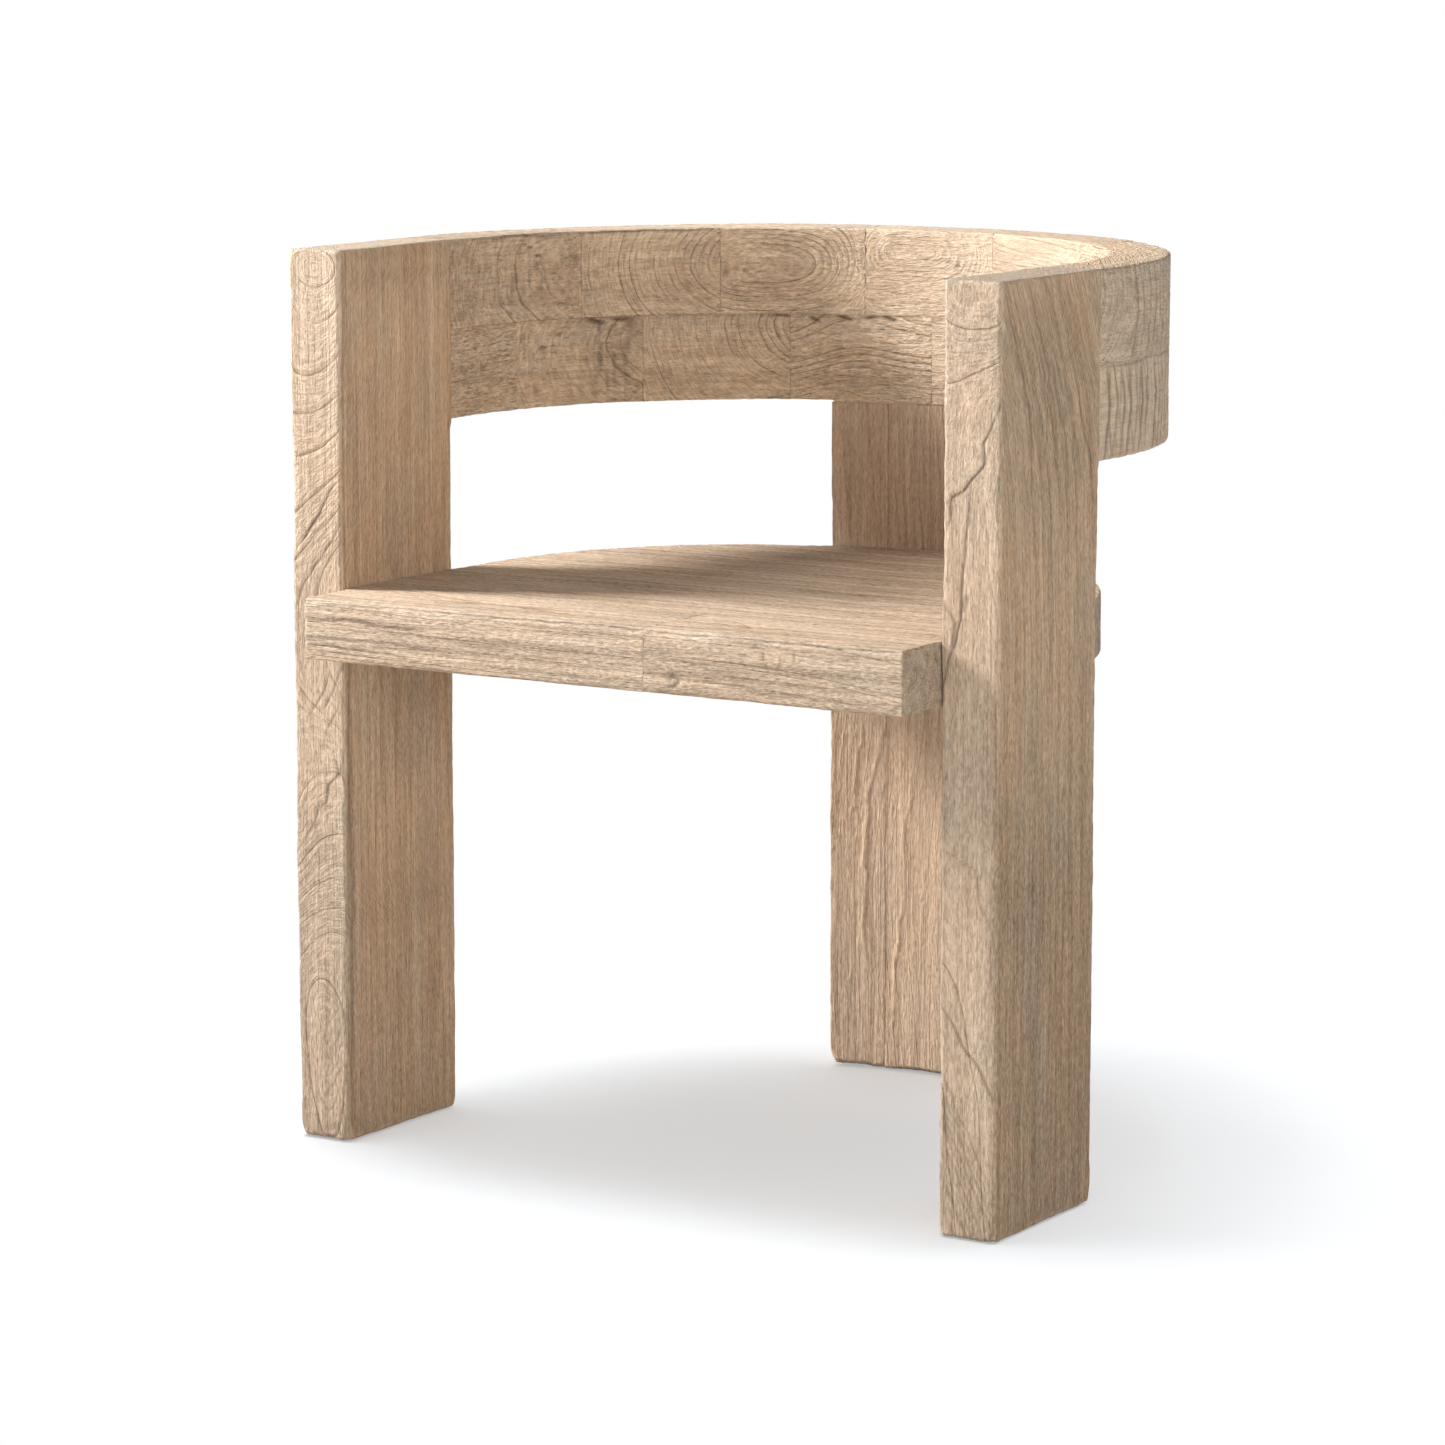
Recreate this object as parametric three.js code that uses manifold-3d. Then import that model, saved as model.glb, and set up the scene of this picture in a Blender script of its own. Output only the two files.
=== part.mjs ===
// Dining chair in solid reclaimed hardwood.
// Two slab front legs and one curved rear leg carry a U-shaped rail that is both arms and back.
// The rail is laid in two courses of short curved blocks, like bricks. The seat is an edge-glued panel.
// Millimetres. The chair faces -Y, +Z is up, and +X is on the right of someone who faces the chair.
// Left and right in the names are that person's. The origin lies on the floor, under the middle of
// the chair's bounding box.

import * as THREE from "three";
import { mergeVertices } from "three/addons/utils/BufferGeometryUtils.js";
import Module from "manifold-3d";

const wasm = await Module();
wasm.setup();

// Overall width, and the thickness of the slabs for the legs and the rail
const overallWidth = 638;
const slabThickness = 50;

// Front legs
const frontLegDepth = 150;

// Arm and back rail
const railStraightRun = 34;
const lowerCourseHeight = 72.5;
const upperCourseHeight = 72.5;
const lowerCourseBlocks = 8;
const upperCourseBlocks = 7;
const lowerCourseFirstJoint = THREE.MathUtils.degToRad(11);
const upperCourseFirstJoint = THREE.MathUtils.degToRad(25.5);

// Rear leg
const rearLegWidth = 178;
const middleStaveWidth = 80;

// Seat
const seatHeight = 446;
const seatThickness = 50;
const seatOverhang = 53;
const seatBoards = 6;
const frontStripJoint = 45;

// The open back between the seat's top and the rail's underside
const openBackHeight = 119;

// Edges and glue. The upright corners are rounder than the top and bottom edges
const edgeEase = 3;
const cornerOverEase = 2;
const glueLine = 0.3;

// Loose tenons
const tenonThickness = 12;
const seatTenonWidth = 44;
const railTenonWidth = 40;
const rearLegTenonWidth = 30;
const tenonInSeat = 38;
const tenonInRail = 42;
const tenonInRearLegTop = 45;
const slabLeftBehindTenon = 20;
const tenonClearance = 0.3;
const tenonEndChamfer = 1.5;

// Where the seat's side tenons stand along the front leg, as shares of the leg's depth
const seatTenonShares = [0.25, 0.75];

// How finely rounds are divided
const stepsPerHalfTurn = 60;
const cornerSteps = 3;
const easeSteps = 3;
const halfTurn = Math.PI;
const quarterTurn = Math.PI / 2;

// Sizes and places that follow from these
const plankCorner = edgeEase + cornerOverEase;
const outerRadius = overallWidth / 2;
const innerRadius = outerRadius - slabThickness;
const middleRadius = outerRadius - slabThickness / 2;
const overallDepth = seatOverhang + frontLegDepth + railStraightRun + outerRadius;
const seatFrontY = -overallDepth / 2;
const legFrontY = seatFrontY + seatOverhang;
const legBackY = legFrontY + frontLegDepth;
const bendY = legBackY + railStraightRun;
const railHeight = lowerCourseHeight + upperCourseHeight;
const railBottom = seatHeight + openBackHeight;
const overallHeight = railBottom + railHeight;
const courseSeam = railBottom + lowerCourseHeight;
const seatBottom = seatHeight - seatThickness;
const seatHalfWidth = innerRadius - glueLine;
const seatBackY = bendY + seatHalfWidth;
const rearLegHalfWidth = rearLegWidth / 2;
const outerStaveMiddle = (rearLegHalfWidth + middleStaveWidth / 2) / 2;

// How far one finished form runs on into the next before both are cut at their joint
const lap = 2 * plankCorner;
// A cutting block reaches this far past anything that it cuts
const beyond = overallWidth;

// Wood tones
const legTone = 0xc9ad8c;
const rearLegTone = 0xc2a280;
const railTone = 0xb99b7c;
const seatTone = 0xcdb190;
const tenonTone = 0xb48d63;

// A closed mesh made into a solid
function solid(geometry) {
  geometry.deleteAttribute("normal");
  geometry.deleteAttribute("uv");
  const merged = mergeVertices(geometry);
  const mesh = new wasm.Mesh({
    numProp: 3,
    vertProperties: merged.attributes.position.array,
    triVerts: new Uint32Array(merged.index.array),
  });
  return new wasm.Manifold(mesh);
}

// A square-edged block between two corners
function block(low, high) {
  const geometry = new THREE.BoxGeometry(high[0] - low[0], high[1] - low[1], high[2] - low[2]);
  geometry.translate((low[0] + high[0]) / 2, (low[1] + high[1]) / 2, (low[2] + high[2]) / 2);
  return solid(geometry);
}

// An upright prism with sharp edges
function prism(outline, bottom, height) {
  const geometry = new THREE.ExtrudeGeometry(new THREE.Shape(outline), {
    depth: height,
    bevelEnabled: false,
  });
  geometry.translate(0, 0, bottom);
  return solid(geometry);
}

// An upright prism whose top and bottom edges are rounded over
function easedPrism(outline, bottom, height) {
  const geometry = new THREE.ExtrudeGeometry(new THREE.Shape(outline), {
    depth: height - 2 * edgeEase,
    bevelEnabled: true,
    bevelThickness: edgeEase,
    bevelSize: edgeEase,
    bevelOffset: -edgeEase,
    bevelSegments: easeSteps,
  });
  geometry.translate(0, 0, bottom + edgeEase);
  return solid(geometry);
}

// Points along an arc, its two ends included
function arcPoints(centreX, centreY, radius, start, end, steps) {
  const points = [];
  for (let i = 0; i <= steps; i += 1) {
    const angle = start + ((end - start) * i) / steps;
    points.push(new THREE.Vector2(centreX + radius * Math.cos(angle), centreY + radius * Math.sin(angle)));
  }
  return points;
}

// A rectangle in plan with its four corners rounded
function plankOutline(left, right, front, back) {
  const r = plankCorner;
  return [
    ...arcPoints(right - r, front + r, r, -quarterTurn, 0, cornerSteps),
    ...arcPoints(right - r, back - r, r, 0, quarterTurn, cornerSteps),
    ...arcPoints(left + r, back - r, r, quarterTurn, halfTurn, cornerSteps),
    ...arcPoints(left + r, front + r, r, halfTurn, halfTurn + quarterTurn, cornerSteps),
  ];
}

// The U of the rail in plan. Its ends run on into the front legs by the lap
function railOutline() {
  const endY = legBackY - lap;
  return [
    new THREE.Vector2(outerRadius, endY),
    ...arcPoints(0, bendY, outerRadius, 0, halfTurn, stepsPerHalfTurn),
    new THREE.Vector2(-outerRadius, endY),
    new THREE.Vector2(-innerRadius, endY),
    ...arcPoints(0, bendY, innerRadius, halfTurn, 0, stepsPerHalfTurn),
    new THREE.Vector2(innerRadius, endY),
  ];
}

// The rear leg in plan: a piece of the same ring with parallel sides and rounded corners
function rearLegOutline() {
  const r = plankCorner;
  const roundX = rearLegHalfWidth - r;
  const outerY = Math.sqrt((outerRadius - r) ** 2 - roundX ** 2);
  const innerY = Math.sqrt((innerRadius + r) ** 2 - roundX ** 2);
  const outerTurn = Math.atan2(outerY, roundX);
  const innerTurn = Math.atan2(innerY, roundX);
  const legSteps = Math.ceil(((halfTurn - 2 * innerTurn) / halfTurn) * stepsPerHalfTurn);
  return [
    ...arcPoints(roundX, bendY + outerY, r, 0, outerTurn, cornerSteps),
    ...arcPoints(0, bendY, outerRadius, outerTurn, halfTurn - outerTurn, legSteps).slice(1, -1),
    ...arcPoints(-roundX, bendY + outerY, r, halfTurn - outerTurn, halfTurn, cornerSteps),
    ...arcPoints(-roundX, bendY + innerY, r, halfTurn, 2 * halfTurn - innerTurn, cornerSteps),
    ...arcPoints(0, bendY, innerRadius, halfTurn - innerTurn, innerTurn, legSteps).slice(1, -1),
    ...arcPoints(roundX, bendY + innerY, r, halfTurn + innerTurn, 2 * halfTurn, cornerSteps),
  ];
}

// The seat in plan: square front with rounded corners, half-round back inside the rail's curve
function seatOutline() {
  const r = plankCorner;
  const side = seatHalfWidth - r;
  return [
    ...arcPoints(side, seatFrontY + r, r, -quarterTurn, 0, cornerSteps),
    ...arcPoints(0, bendY, seatHalfWidth, 0, halfTurn, stepsPerHalfTurn),
    ...arcPoints(-side, seatFrontY + r, r, halfTurn, halfTurn + quarterTurn, cornerSteps),
  ];
}

// A corner of a cutting outline on a joint of the ring, set back from the joint by half a glue line
function jointCorner(angle, radius, inward) {
  const setBack = (inward * glueLine) / 2;
  const x = radius * Math.cos(angle) - setBack * Math.sin(angle);
  const y = radius * Math.sin(angle) + setBack * Math.cos(angle);
  return new THREE.Vector2(x, bendY + y);
}

const nearCut = innerRadius / 2;
const farCut = outerRadius * 2;

// Cuts out the sector of the ring between two joints
function sectorBlank(startAngle, endAngle, bottom, height) {
  const outline = [
    jointCorner(startAngle, nearCut, 1),
    jointCorner(startAngle, farCut, 1),
    jointCorner(endAngle, farCut, -1),
    jointCorner(endAngle, nearCut, -1),
  ];
  return prism(outline, bottom, height);
}

// Cuts out the stretch from a front leg's back edge to the first joint, on one side of the chair
function endBlank(side, firstJoint, bottom, height) {
  const outline = [
    new THREE.Vector2(0, legBackY),
    new THREE.Vector2(farCut, legBackY),
    new THREE.Vector2(farCut, bendY),
    jointCorner(firstJoint, farCut, -1),
    jointCorner(firstJoint, nearCut, -1),
  ];
  return prism(outline.map((point) => new THREE.Vector2(side * point.x, point.y)), bottom, height);
}

// Finished forms, running through their joints
const railSquare = prism(railOutline(), railBottom, railHeight);
const rearLegLanding = block(
  [-rearLegHalfWidth + plankCorner, bendY, railBottom],
  [rearLegHalfWidth - plankCorner, bendY + beyond, railBottom + edgeEase],
);
const railForm = easedPrism(railOutline(), railBottom, railHeight).add(railSquare.intersect(rearLegLanding));
const rearLegForm = easedPrism(rearLegOutline(), 0, railBottom + lap);
const inFrontOfRail = block([-beyond, legFrontY, 0], [beyond, legBackY, overallHeight]);
const railEnds = railForm.intersect(inFrontOfRail);

function seatForm() {
  const square = prism(seatOutline(), seatBottom, seatThickness);
  const besideLegs = (side) => {
    const x = [side * (seatHalfWidth - lap), side * innerRadius].sort((a, b) => a - b);
    const front = legFrontY + plankCorner;
    return block([x[0], front, seatBottom], [x[1], legBackY - plankCorner, seatHeight]);
  };
  const atRearLeg = block(
    [-rearLegHalfWidth + plankCorner, bendY, seatBottom],
    [rearLegHalfWidth - plankCorner, seatBackY, seatHeight],
  );
  return easedPrism(seatOutline(), seatBottom, seatThickness)
    .add(square.intersect(besideLegs(-1)))
    .add(square.intersect(besideLegs(1)))
    .add(square.intersect(atRearLeg));
}

const pieces = new Map();

function addPiece(name, form, tone) {
  pieces.set(name, { form, tone });
}

// Front legs
for (const [name, side] of [["left_front_leg", -1], ["right_front_leg", 1]]) {
  const x = [side * innerRadius, side * outerRadius].sort((a, b) => a - b);
  const slab = easedPrism(plankOutline(x[0], x[1], legFrontY, legBackY), 0, overallHeight);
  const sideOnly = block([x[0], legFrontY, 0], [x[1], legBackY, overallHeight]);
  addPiece(name, slab.add(railEnds.intersect(sideOnly)), legTone);
}

// Rear leg staves
const staveEdges = [-rearLegHalfWidth, -middleStaveWidth / 2, middleStaveWidth / 2, rearLegHalfWidth];
for (const [i, name] of ["left", "middle", "right"].entries()) {
  const low = [staveEdges[i], bendY, 0];
  const high = [staveEdges[i + 1], bendY + beyond, railBottom];
  addPiece(`rear_leg_${name}_stave`, rearLegForm.intersect(block(low, high)), rearLegTone);
}

// Rail courses, from the right front leg round to the left. The first and the last block of a course
// also take in the straight stretch to the leg
function layCourse(name, bottom, height, blocks, firstJoint) {
  const step = (halfTurn - 2 * firstJoint) / (blocks - 2);
  for (let i = 0; i < blocks; i += 1) {
    const joint = firstJoint + i * step;
    let blank = sectorBlank(joint - step, joint, bottom, height);
    if (i === 0) {
      blank = endBlank(1, firstJoint, bottom, height);
    }
    if (i === blocks - 1) {
      blank = endBlank(-1, firstJoint, bottom, height);
    }
    addPiece(`${name}_${i + 1}`, railForm.intersect(blank), railTone);
  }
}

layCourse("lower_rail", railBottom, lowerCourseHeight, lowerCourseBlocks, lowerCourseFirstJoint);
layCourse("upper_rail", courseSeam, upperCourseHeight, upperCourseBlocks, upperCourseFirstJoint);

// Seat boards, front to back. The front strip is two lengths butted end to end
const seat = seatForm();
const boardWidth = (seatBackY - seatFrontY) / seatBoards;
for (let i = 0; i < seatBoards; i += 1) {
  const front = seatFrontY + i * boardWidth;
  const back = i === seatBoards - 1 ? seatBackY : front + boardWidth;
  const strip = (left, right) => seat.intersect(block([left, front, seatBottom], [right, back, seatHeight]));
  if (i === 0) {
    addPiece("seat_board_front_left", strip(-innerRadius, frontStripJoint), seatTone);
    addPiece("seat_board_front_right", strip(frontStripJoint, innerRadius), seatTone);
  } else {
    addPiece(`seat_board_${i + 1}`, strip(-innerRadius, innerRadius), seatTone);
  }
}

// A loose tenon along +Z with rounded edges, centred on its own middle
function tenonGeometry(width, length, spare, chamfer) {
  const radius = tenonThickness / 2 + spare;
  const roundAt = (width - tenonThickness) / 2;
  const steps = 2 * cornerSteps;
  const outline = [
    ...arcPoints(roundAt, 0, radius, -quarterTurn, quarterTurn, steps),
    ...arcPoints(-roundAt, 0, radius, quarterTurn, halfTurn + quarterTurn, steps),
  ];
  const fullLength = length + 2 * spare;
  const geometry = new THREE.ExtrudeGeometry(new THREE.Shape(outline), {
    depth: fullLength - 2 * chamfer,
    bevelEnabled: chamfer > 0,
    bevelThickness: chamfer,
    bevelSize: chamfer,
    bevelOffset: -chamfer,
    bevelSegments: 1,
  });
  geometry.translate(0, 0, chamfer - fullLength / 2);
  return geometry;
}

// Sets a tenon in its pocket, and cuts the pocket in every named piece
function setTenon(name, width, length, place, hosts) {
  const tenon = solid(place(tenonGeometry(width, length, 0, tenonEndChamfer)));
  const pocket = solid(place(tenonGeometry(width, length, tenonClearance, 0)));
  for (const host of hosts) {
    const piece = pieces.get(host);
    piece.form = piece.form.subtract(pocket);
  }
  addPiece(name, tenon, tenonTone);
}

const tenonInSlab = slabThickness - slabLeftBehindTenon;
const seatBoardNames = [...pieces.keys()].filter((name) => name.startsWith("seat_board"));
const staveNames = [...pieces.keys()].filter((name) => name.endsWith("_stave"));
const lowerBlockNames = [...pieces.keys()].filter((name) => name.startsWith("lower_rail"));
const seatMiddleZ = seatHeight - seatThickness / 2;

for (const [sideName, side] of [["left", -1], ["right", 1]]) {
  const legName = `${sideName}_front_leg`;

  // Seat into front leg
  for (const [i, endName] of ["front", "rear"].entries()) {
    const length = tenonInSlab + tenonInSeat;
    const middleX = side * (innerRadius + (tenonInSlab - tenonInSeat) / 2);
    const y = legFrontY + seatTenonShares[i] * frontLegDepth;
    const place = (g) => g.rotateZ(quarterTurn).rotateY(quarterTurn).translate(middleX, y, seatMiddleZ);
    const hosts = [legName, ...seatBoardNames];
    setTenon(`seat_tenon_${sideName}_${endName}`, seatTenonWidth, length, place, hosts);
  }

  // Rail into front leg, one tenon in each course
  const courses = [
    ["lower", railBottom + lowerCourseHeight / 2, side > 0 ? 1 : lowerCourseBlocks],
    ["upper", courseSeam + upperCourseHeight / 2, side > 0 ? 1 : upperCourseBlocks],
  ];
  for (const [course, z, blockNumber] of courses) {
    const x = side * middleRadius;
    const place = (g) => g.rotateX(quarterTurn).rotateY(quarterTurn).translate(x, legBackY, z);
    const hosts = [legName, `${course}_rail_${blockNumber}`];
    setTenon(`rail_tenon_${sideName}_${course}`, railTenonWidth, 2 * tenonInRail, place, hosts);
  }

  // Rear leg into rail, turned to follow the curve
  const turn = Math.asin(outerStaveMiddle / middleRadius);
  const tenonX = side * outerStaveMiddle;
  const uprightY = bendY + middleRadius * Math.cos(turn);
  const uprightLength = 2 * tenonInRearLegTop;
  const placeUpright = (g) => g.rotateZ(-side * turn).translate(tenonX, uprightY, railBottom);
  const uprightHosts = [...staveNames, ...lowerBlockNames];
  setTenon(`rear_leg_tenon_${sideName}`, rearLegTenonWidth, uprightLength, placeUpright, uprightHosts);

  // Seat into rear leg
  const seatEdgeY = bendY + Math.sqrt(innerRadius ** 2 - outerStaveMiddle ** 2);
  const backLength = tenonInSlab + tenonInSeat;
  const backY = seatEdgeY + (tenonInSlab - tenonInSeat) / 2;
  const placeBack = (g) => g.rotateX(quarterTurn).translate(tenonX, backY, seatMiddleZ);
  const backHosts = [...staveNames, ...seatBoardNames];
  setTenon(`seat_tenon_back_${sideName}`, rearLegTenonWidth, backLength, placeBack, backHosts);
}

// The scene graph
const group = new THREE.Group();
for (const [name, piece] of pieces) {
  const { vertProperties, triVerts } = piece.form.getMesh();
  const geometry = new THREE.BufferGeometry();
  geometry.setAttribute("position", new THREE.BufferAttribute(new Float32Array(vertProperties), 3));
  geometry.setIndex(new THREE.BufferAttribute(new Uint32Array(triVerts), 1));
  geometry.computeVertexNormals();
  const material = new THREE.MeshStandardMaterial({ color: piece.tone, roughness: 0.85, metalness: 0 });
  const mesh = new THREE.Mesh(geometry, material);
  mesh.name = name;
  group.add(mesh);
}

export default group;
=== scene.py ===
"""Dresses the fixed model of a dining chair in weathered, wire-brushed boards.

Every visible board is a fine mesh whose rings, fibres, cracks and worn edges are real relief. The
figure comes from where the board lay in its log: each one has a pith line, and the distance from that
line gives its growth rings. Lengths are in millimetres until a mesh is made.
"""

import math
from dataclasses import dataclass, replace

import bpy
import numpy as np
from mathutils import Matrix, Vector


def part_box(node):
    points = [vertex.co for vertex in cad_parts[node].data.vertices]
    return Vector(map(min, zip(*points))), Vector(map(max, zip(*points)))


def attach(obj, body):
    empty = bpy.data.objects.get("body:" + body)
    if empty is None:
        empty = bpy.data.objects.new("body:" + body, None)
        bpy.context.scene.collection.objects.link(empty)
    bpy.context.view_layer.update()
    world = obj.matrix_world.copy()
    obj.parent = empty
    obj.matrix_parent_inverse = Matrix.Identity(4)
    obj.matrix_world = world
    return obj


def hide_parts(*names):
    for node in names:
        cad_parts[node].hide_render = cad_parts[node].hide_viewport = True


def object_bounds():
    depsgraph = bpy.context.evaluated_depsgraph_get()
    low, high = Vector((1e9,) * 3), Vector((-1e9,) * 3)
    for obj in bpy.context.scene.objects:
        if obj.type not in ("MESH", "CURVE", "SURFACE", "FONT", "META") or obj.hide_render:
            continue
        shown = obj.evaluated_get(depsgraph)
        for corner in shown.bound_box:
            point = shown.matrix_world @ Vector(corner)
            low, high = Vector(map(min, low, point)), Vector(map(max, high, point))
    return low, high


bl_info = {
    "name": "Reclaimed wood dining chair",
    "version": (1, 0, 0),
    "blender": (4, 5, 0),
    "location": "3D View > Sidebar > Chair",
    "description": "Dresses the fixed chair in brushed, weathered boards",
    "category": "Add Mesh",
}

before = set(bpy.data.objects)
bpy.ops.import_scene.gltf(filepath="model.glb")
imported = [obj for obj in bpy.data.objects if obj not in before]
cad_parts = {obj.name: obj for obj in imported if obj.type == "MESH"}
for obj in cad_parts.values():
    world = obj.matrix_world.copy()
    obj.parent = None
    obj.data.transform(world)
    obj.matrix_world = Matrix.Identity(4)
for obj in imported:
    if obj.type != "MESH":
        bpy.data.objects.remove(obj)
CAD_BOX = [list(corner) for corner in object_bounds()]
MM = 0.001
# Where a growth ring's line of late wood lies, as a share of the ring
RING_LINE = 0.5
# The side that faces the key lamps, where painted light makes the wood paler
PAINTED_LIGHT_SIDE = np.array([-0.7, -0.5, 0.5])


# Sizes that the frame gives


def box_mm(node):
    """The lowest and highest corner of a fixed node, in millimetres."""
    low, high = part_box(node)
    return np.array(low) / MM, np.array(high) / MM


CHAIR_LOW, CHAIR_HIGH = np.array(CAD_BOX) / MM
LEG_LOW, LEG_HIGH = box_mm("right_front_leg")
SLAB = LEG_HIGH[0] - LEG_LOW[0]
OUTER_RADIUS = LEG_HIGH[0]
INNER_RADIUS = LEG_LOW[0]
MIDDLE_RADIUS = (OUTER_RADIUS + INNER_RADIUS) / 2
BEND_Y = CHAIR_HIGH[1] - OUTER_RADIUS
STRAIGHT_RUN = BEND_Y - LEG_HIGH[1]
RAIL_LOW = box_mm("lower_rail_1")[0][2]
REAR_HALF = box_mm("rear_leg_right_stave")[1][0]
SEAT_HALF = box_mm("seat_board_2")[1][0]
LAST_BOARD_FRONT = box_mm("seat_board_6")[0][1]
LAST_BOARD_DEPTH = box_mm("seat_board_6")[1][1] - LAST_BOARD_FRONT


# The sizes and colours that a user would change


class ChairWear(bpy.types.PropertyGroup):
    """How worn the boards are."""

    edge_radius: bpy.props.FloatProperty(
        name="Edge radius", description="Rounding of a worn edge", default=3.0 * MM, unit="LENGTH"
    )
    edge_chip: bpy.props.FloatProperty(
        name="Edge chips", description="Extra rounding where an edge is chipped",
        default=2.2 * MM, unit="LENGTH",
    )
    ring_relief: bpy.props.FloatProperty(
        name="Ring relief", description="Depth brushed out of the soft rings",
        default=0.6 * MM, unit="LENGTH",
    )
    fine_relief: bpy.props.FloatProperty(
        name="Fine relief", description="Depth of the relief that is too fine for the mesh",
        default=1.0 * MM, unit="LENGTH",
    )
    seam_depth: bpy.props.FloatProperty(
        name="Seam depth", description="Depth of the groove along a glued joint",
        default=0.6 * MM, unit="LENGTH",
    )
    mesh_step: bpy.props.FloatProperty(
        name="Mesh step", description="Distance between mesh lines on a board",
        default=1.4 * MM, unit="LENGTH",
    )


class ChairTones(bpy.types.PropertyGroup):
    """The colours, as sRGB hex values."""

    leg: bpy.props.StringProperty(
        name="Front legs", description="Wood of the front legs", default="#C4A889"
    )
    rear: bpy.props.StringProperty(
        name="Rear leg", description="Wood of the rear leg", default="#CAA886"
    )
    rail: bpy.props.StringProperty(
        name="Rail", description="Wood of the palest rail blocks", default="#E9D0B1"
    )
    seat: bpy.props.StringProperty(
        name="Seat", description="Wood of the seat", default="#BEA385"
    )
    blush: bpy.props.StringProperty(
        name="Blush", description="Pinkish patches", default="#CDA588"
    )
    # Painted light: the paler colour of the sides that face the key lamps
    painted_light_tone: bpy.props.StringProperty(
        name="Bleached", description="Wood paled by light", default="#E2D0BC"
    )
    worn: bpy.props.StringProperty(
        name="Worn edges", description="Bruised pale edges", default="#E8DAC2"
    )
    ridge: bpy.props.StringProperty(
        name="Ridges", description="Late wood that stands proud", default="#DDBF9C"
    )
    tenon: bpy.props.StringProperty(
        name="Tenons", description="Fresh wood of the hidden tenons", default="#C79F70"
    )
    dark: bpy.props.StringProperty(
        name="Late wood", description="Dark line of a growth ring", default="#7E6146"
    )
    grey: bpy.props.StringProperty(
        name="Weathering", description="Grey of weathered wood", default="#B0A494"
    )
    paper: bpy.props.StringProperty(
        name="Floor paper", description="How the lamps' light shows on the floor", default="#C7CBCF"
    )


class ChairStage(bpy.types.PropertyGroup):
    """The camera and the lamps."""

    lens: bpy.props.FloatProperty(
        name="Lens", description="Focal length on a 36 mm sensor", default=128.98, unit="CAMERA"
    )
    azimuth: bpy.props.FloatProperty(
        name="Azimuth", description="Where the camera stands, round from the front",
        default=math.radians(32.2), subtype="ANGLE",
    )
    elevation: bpy.props.FloatProperty(
        name="Elevation", description="How far the camera looks down",
        default=math.radians(9.217), subtype="ANGLE",
    )
    distance: bpy.props.FloatProperty(
        name="Distance", description="From the camera to the point it looks at",
        default=4.69, unit="LENGTH",
    )
    aim: bpy.props.FloatVectorProperty(
        name="Aim", description="The point that the camera looks at",
        default=(-0.3453, 0.4535, 0.2398), subtype="TRANSLATION",
    )
    key: bpy.props.FloatProperty(
        name="Key light", description="Power of the low key lamp", default=137, unit="POWER"
    )
    high: bpy.props.FloatProperty(
        name="High light", description="Power of the lamp above the key", default=87, unit="POWER"
    )
    fill: bpy.props.FloatProperty(
        name="Fill light", description="Power of the fill lamp", default=56, unit="POWER"
    )
    floor: bpy.props.FloatProperty(
        name="Floor light", description="Power of the lamp over the floor", default=48, unit="POWER"
    )
    roof: bpy.props.FloatProperty(
        name="Roof light", description="Power of the wide floor lamp", default=112, unit="POWER"
    )
    sky: bpy.props.FloatProperty(
        name="Sky", description="Strength of the even light all round", default=0.26
    )


# Repeatable noise


def hashed(cells, seed):
    """A number from 0 to 1 for each whole-number cell, always the same for a seed."""
    # Large odd numbers and shifts mix the cell's three numbers with the seed
    key = cells[:, 0] * 73856093 ^ cells[:, 1] * 19349663 ^ cells[:, 2] * 83492791 ^ seed * 1640531513
    key = (key ^ (key >> 13)) * 1274126177 & 0x7FFFFFFF
    return ((key ^ (key >> 16)) & 0xFFFF) / 0xFFFF


def noise(points, size, seed):
    """Smooth noise from -1 to 1. Size is the width of its bumps in millimetres, one or three numbers."""
    scaled = points / size
    cell = np.floor(scaled).astype(np.int64)
    part = scaled - cell
    ease = part * part * part * (part * (6 * part - 15) + 10)
    total = np.zeros(len(points))
    for corner in np.ndindex(2, 2, 2):
        weight = np.prod(np.where(corner, ease, 1 - ease), axis=1)
        total += weight * hashed(cell + np.array(corner), seed)
    return 2 * total - 1


def ramp(values, start, end):
    """0 before start, 1 after end and smooth between."""
    part = np.clip((values - start) / (end - start), 0, 1)
    return part * part * (3 - 2 * part)


def curve_through(places, values, at):
    """A smooth curve through given values, read at other places."""
    places = np.asarray(places, float)
    values = np.asarray(values, float)
    slopes = np.gradient(values, places)
    index = np.clip(np.searchsorted(places, at) - 1, 0, len(places) - 2)
    width = places[index + 1] - places[index]
    part = np.clip((at - places[index]) / width, 0, 1)
    square, cube = part**2, part**3
    return (
        (2 * cube - 3 * square + 1) * values[index]
        + (cube - 2 * square + part) * width * slopes[index]
        + (3 * square - 2 * cube) * values[index + 1]
        + (cube - square) * width * slopes[index + 1]
    )


# The wood that a board is cut from


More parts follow.
